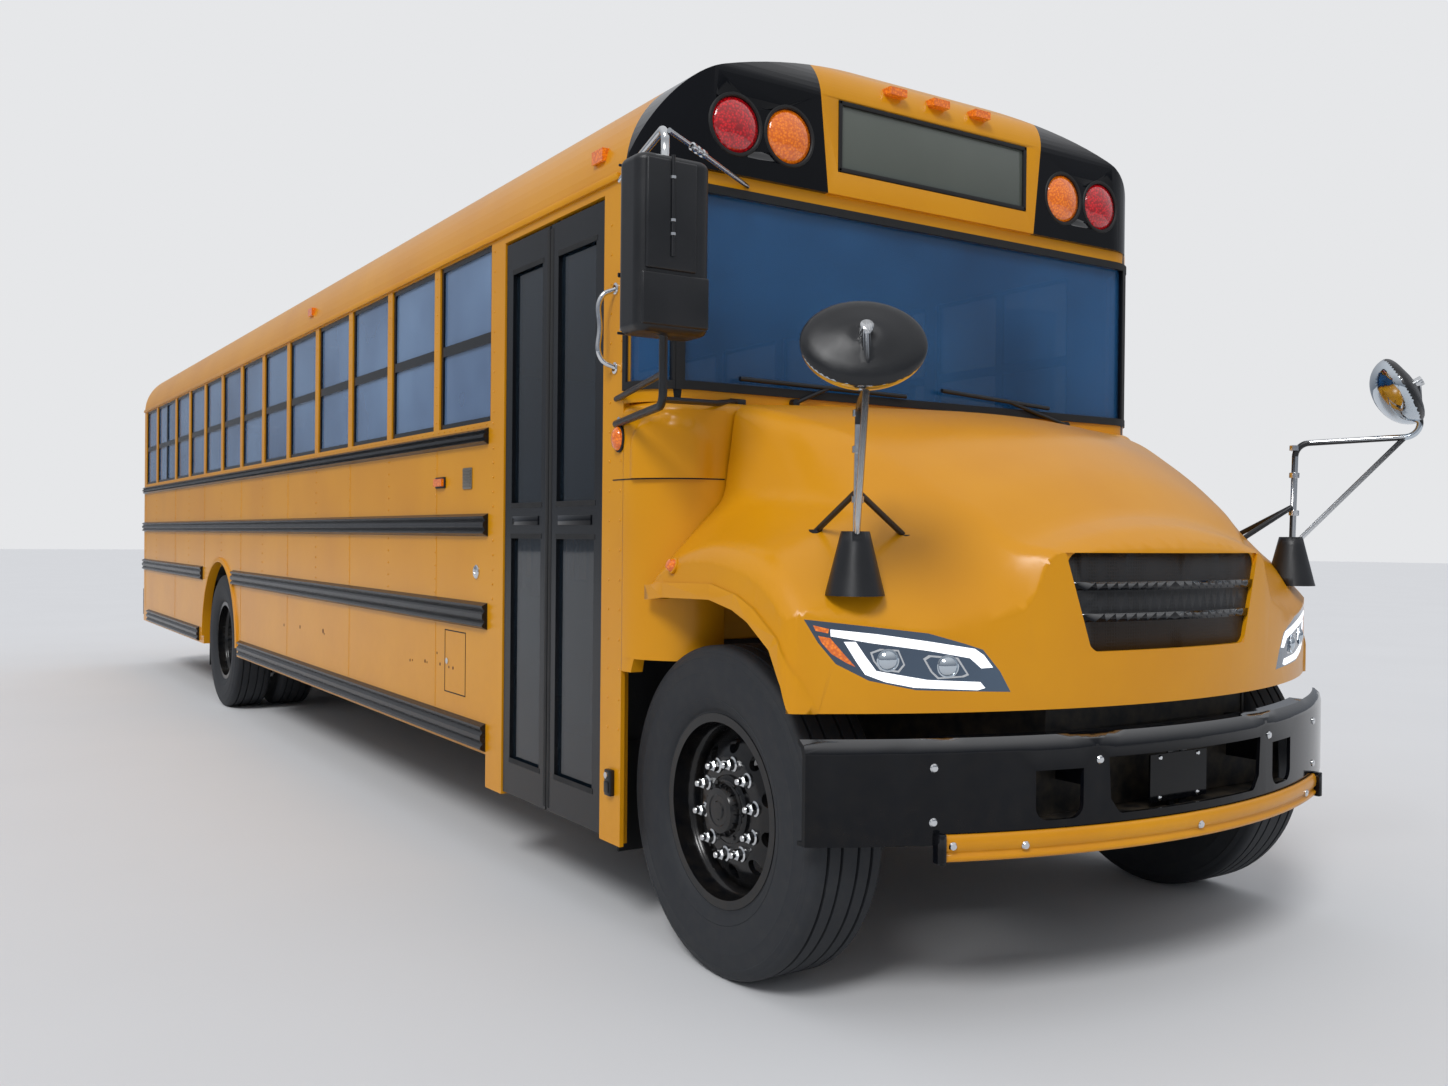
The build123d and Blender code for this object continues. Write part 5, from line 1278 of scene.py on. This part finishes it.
class SCHOOLBUS_OT_stage(bpy.types.Operator):
    """Lays the floor and sets the lights and the camera"""

    bl_idname = "schoolbus.stage"
    bl_label = "Stage"

    FLOOR_RADIUS = 90.0
    SUN_FROM = (0.45, -0.62, 0.75)
    SUN_STRENGTH = 1.45
    SUN_WIDTH = math.radians(18)
    EYE = (8.198, -3.224, 1.357)
    YAW, PITCH, ROLL = (math.radians(angle) for angle in (146.877, -0.316, 0.554))
    LENS_MM = 30.98

    def execute(self, context):
        # A painted studio floor is pale, matt and a little uneven
        tree, place = finish("studio_floor")
        grain = speckle(tree, place, 0.7, 4, 0.2, 0.8)
        pale = context.scene.bus_paint.floor
        coat(tree, {"Base Color": (grain, pale, "#d9dadc"), "Roughness": 0.9})
        bm = bmesh.new()
        bmesh.ops.create_circle(bm, cap_ends=True, segments=96, radius=self.FLOOR_RADIUS)
        mesh = bpy.data.meshes.new("studio_floor")
        bm.to_mesh(mesh)
        bm.free()
        mesh.materials.append(FINISHES["studio_floor"])
        floor = bpy.data.objects.new("studio_floor", mesh)
        context.scene.collection.objects.link(floor)
        self.light(context)
        self.camera(context)
        return {"FINISHED"}

    def light(self, context):
        """An even pale world, and one wide soft sun from the front right."""
        world = bpy.data.worlds.new("studio_world")
        world.use_nodes = True
        tree = world.node_tree
        tree.nodes.clear()
        height = add(tree, "SeparateXYZ", {0: add(tree, "TexCoord", {}, "Generated")}, 2)
        rise = add(tree, "MapRange", {"Value": height, "From Min": -0.05, "From Max": 0.75})
        sky = add(tree, "Mix", {0: rise, 6: "#868d98", 7: "#fbfcff"}, 2, data_type="RGBA")
        light = add(tree, "Background", {"Color": sky, "Strength": 0.76})
        seen = add(tree, "Background", {"Color": "#e6e7e9", "Strength": 1.0})
        ray = add(tree, "LightPath", {}, "Is Camera Ray")
        add(tree, "OutputWorld", {"Surface": add(tree, "MixShader", {0: ray, 1: light, 2: seen})})
        context.scene.world = world
        lamp = bpy.data.lights.new("studio_sun", "SUN")
        lamp.energy = self.SUN_STRENGTH
        lamp.angle = self.SUN_WIDTH
        sun = bpy.data.objects.new("studio_sun", lamp)
        sun.rotation_euler = Vector(self.SUN_FROM).to_track_quat("Z", "Y").to_euler()
        context.scene.collection.objects.link(sun)

    def camera(self, context):
        """The camera at the height of a standing viewer, off the front right corner."""
        yaw, pitch, roll = self.YAW, self.PITCH, self.ROLL
        ahead = Vector((
            math.cos(pitch) * math.cos(yaw), math.cos(pitch) * math.sin(yaw), math.sin(pitch)))
        right = ahead.cross(Vector((0, 0, 1))).normalized()
        up = right.cross(ahead)
        turned_right = math.cos(roll) * right + math.sin(roll) * up
        turned_up = -math.sin(roll) * right + math.cos(roll) * up
        view = Matrix((turned_right, turned_up, -ahead)).transposed()
        data = bpy.data.cameras.new("photo_camera")
        data.sensor_width = 36.0
        data.lens = self.LENS_MM
        data.clip_end = 300.0
        camera = bpy.data.objects.new("photo_camera", data)
        camera.matrix_world = Matrix.Translation(self.EYE) @ view.to_4x4()
        context.scene.collection.objects.link(camera)
        context.scene.camera = camera
        context.scene.view_settings.view_transform = "Standard"


class SCHOOLBUS_PT_sidebar(bpy.types.Panel):
    """Lists the settings and the steps of the dressing"""

    bl_idname = "SCHOOLBUS_PT_sidebar"
    bl_label = "School Bus"
    bl_space_type = "VIEW_3D"
    bl_region_type = "UI"
    bl_category = "School Bus"

    def draw(self, context):
        for group in (context.scene.bus_paint, context.scene.bus_fittings):
            column = self.layout.column(align=True)
            for name in group.__annotations__:
                column.prop(group, name)
        column = self.layout.column(align=True)
        for step in STEPS:
            column.operator(step.bl_idname)


STEPS = [
    SCHOOLBUS_OT_finishes, SCHOOLBUS_OT_forms, SCHOOLBUS_OT_tyres, SCHOOLBUS_OT_wheel_fittings,
    SCHOOLBUS_OT_headlamps, SCHOOLBUS_OT_nose_trim, SCHOOLBUS_OT_bumper_fittings,
    SCHOOLBUS_OT_lamp_trim, SCHOOLBUS_OT_cowl_trim, SCHOOLBUS_OT_side_trim,
    SCHOOLBUS_OT_mirrors, SCHOOLBUS_OT_door_fittings, SCHOOLBUS_OT_seats,
    SCHOOLBUS_OT_rear_trim, SCHOOLBUS_OT_stage,
]
CLASSES = [BusPaint, BusFittings, *STEPS, SCHOOLBUS_PT_sidebar]


def register():
    for one in CLASSES:
        bpy.utils.register_class(one)
    bpy.types.Scene.bus_paint = PointerProperty(type=BusPaint)
    bpy.types.Scene.bus_fittings = PointerProperty(type=BusFittings)


def unregister():
    del bpy.types.Scene.bus_fittings
    del bpy.types.Scene.bus_paint
    for one in reversed(CLASSES):
        bpy.utils.unregister_class(one)


def main():
    register()
    for step in STEPS:
        group, name = step.bl_idname.split(".")
        getattr(getattr(bpy.ops, group), name)()


if __name__ == "__main__":
    main()
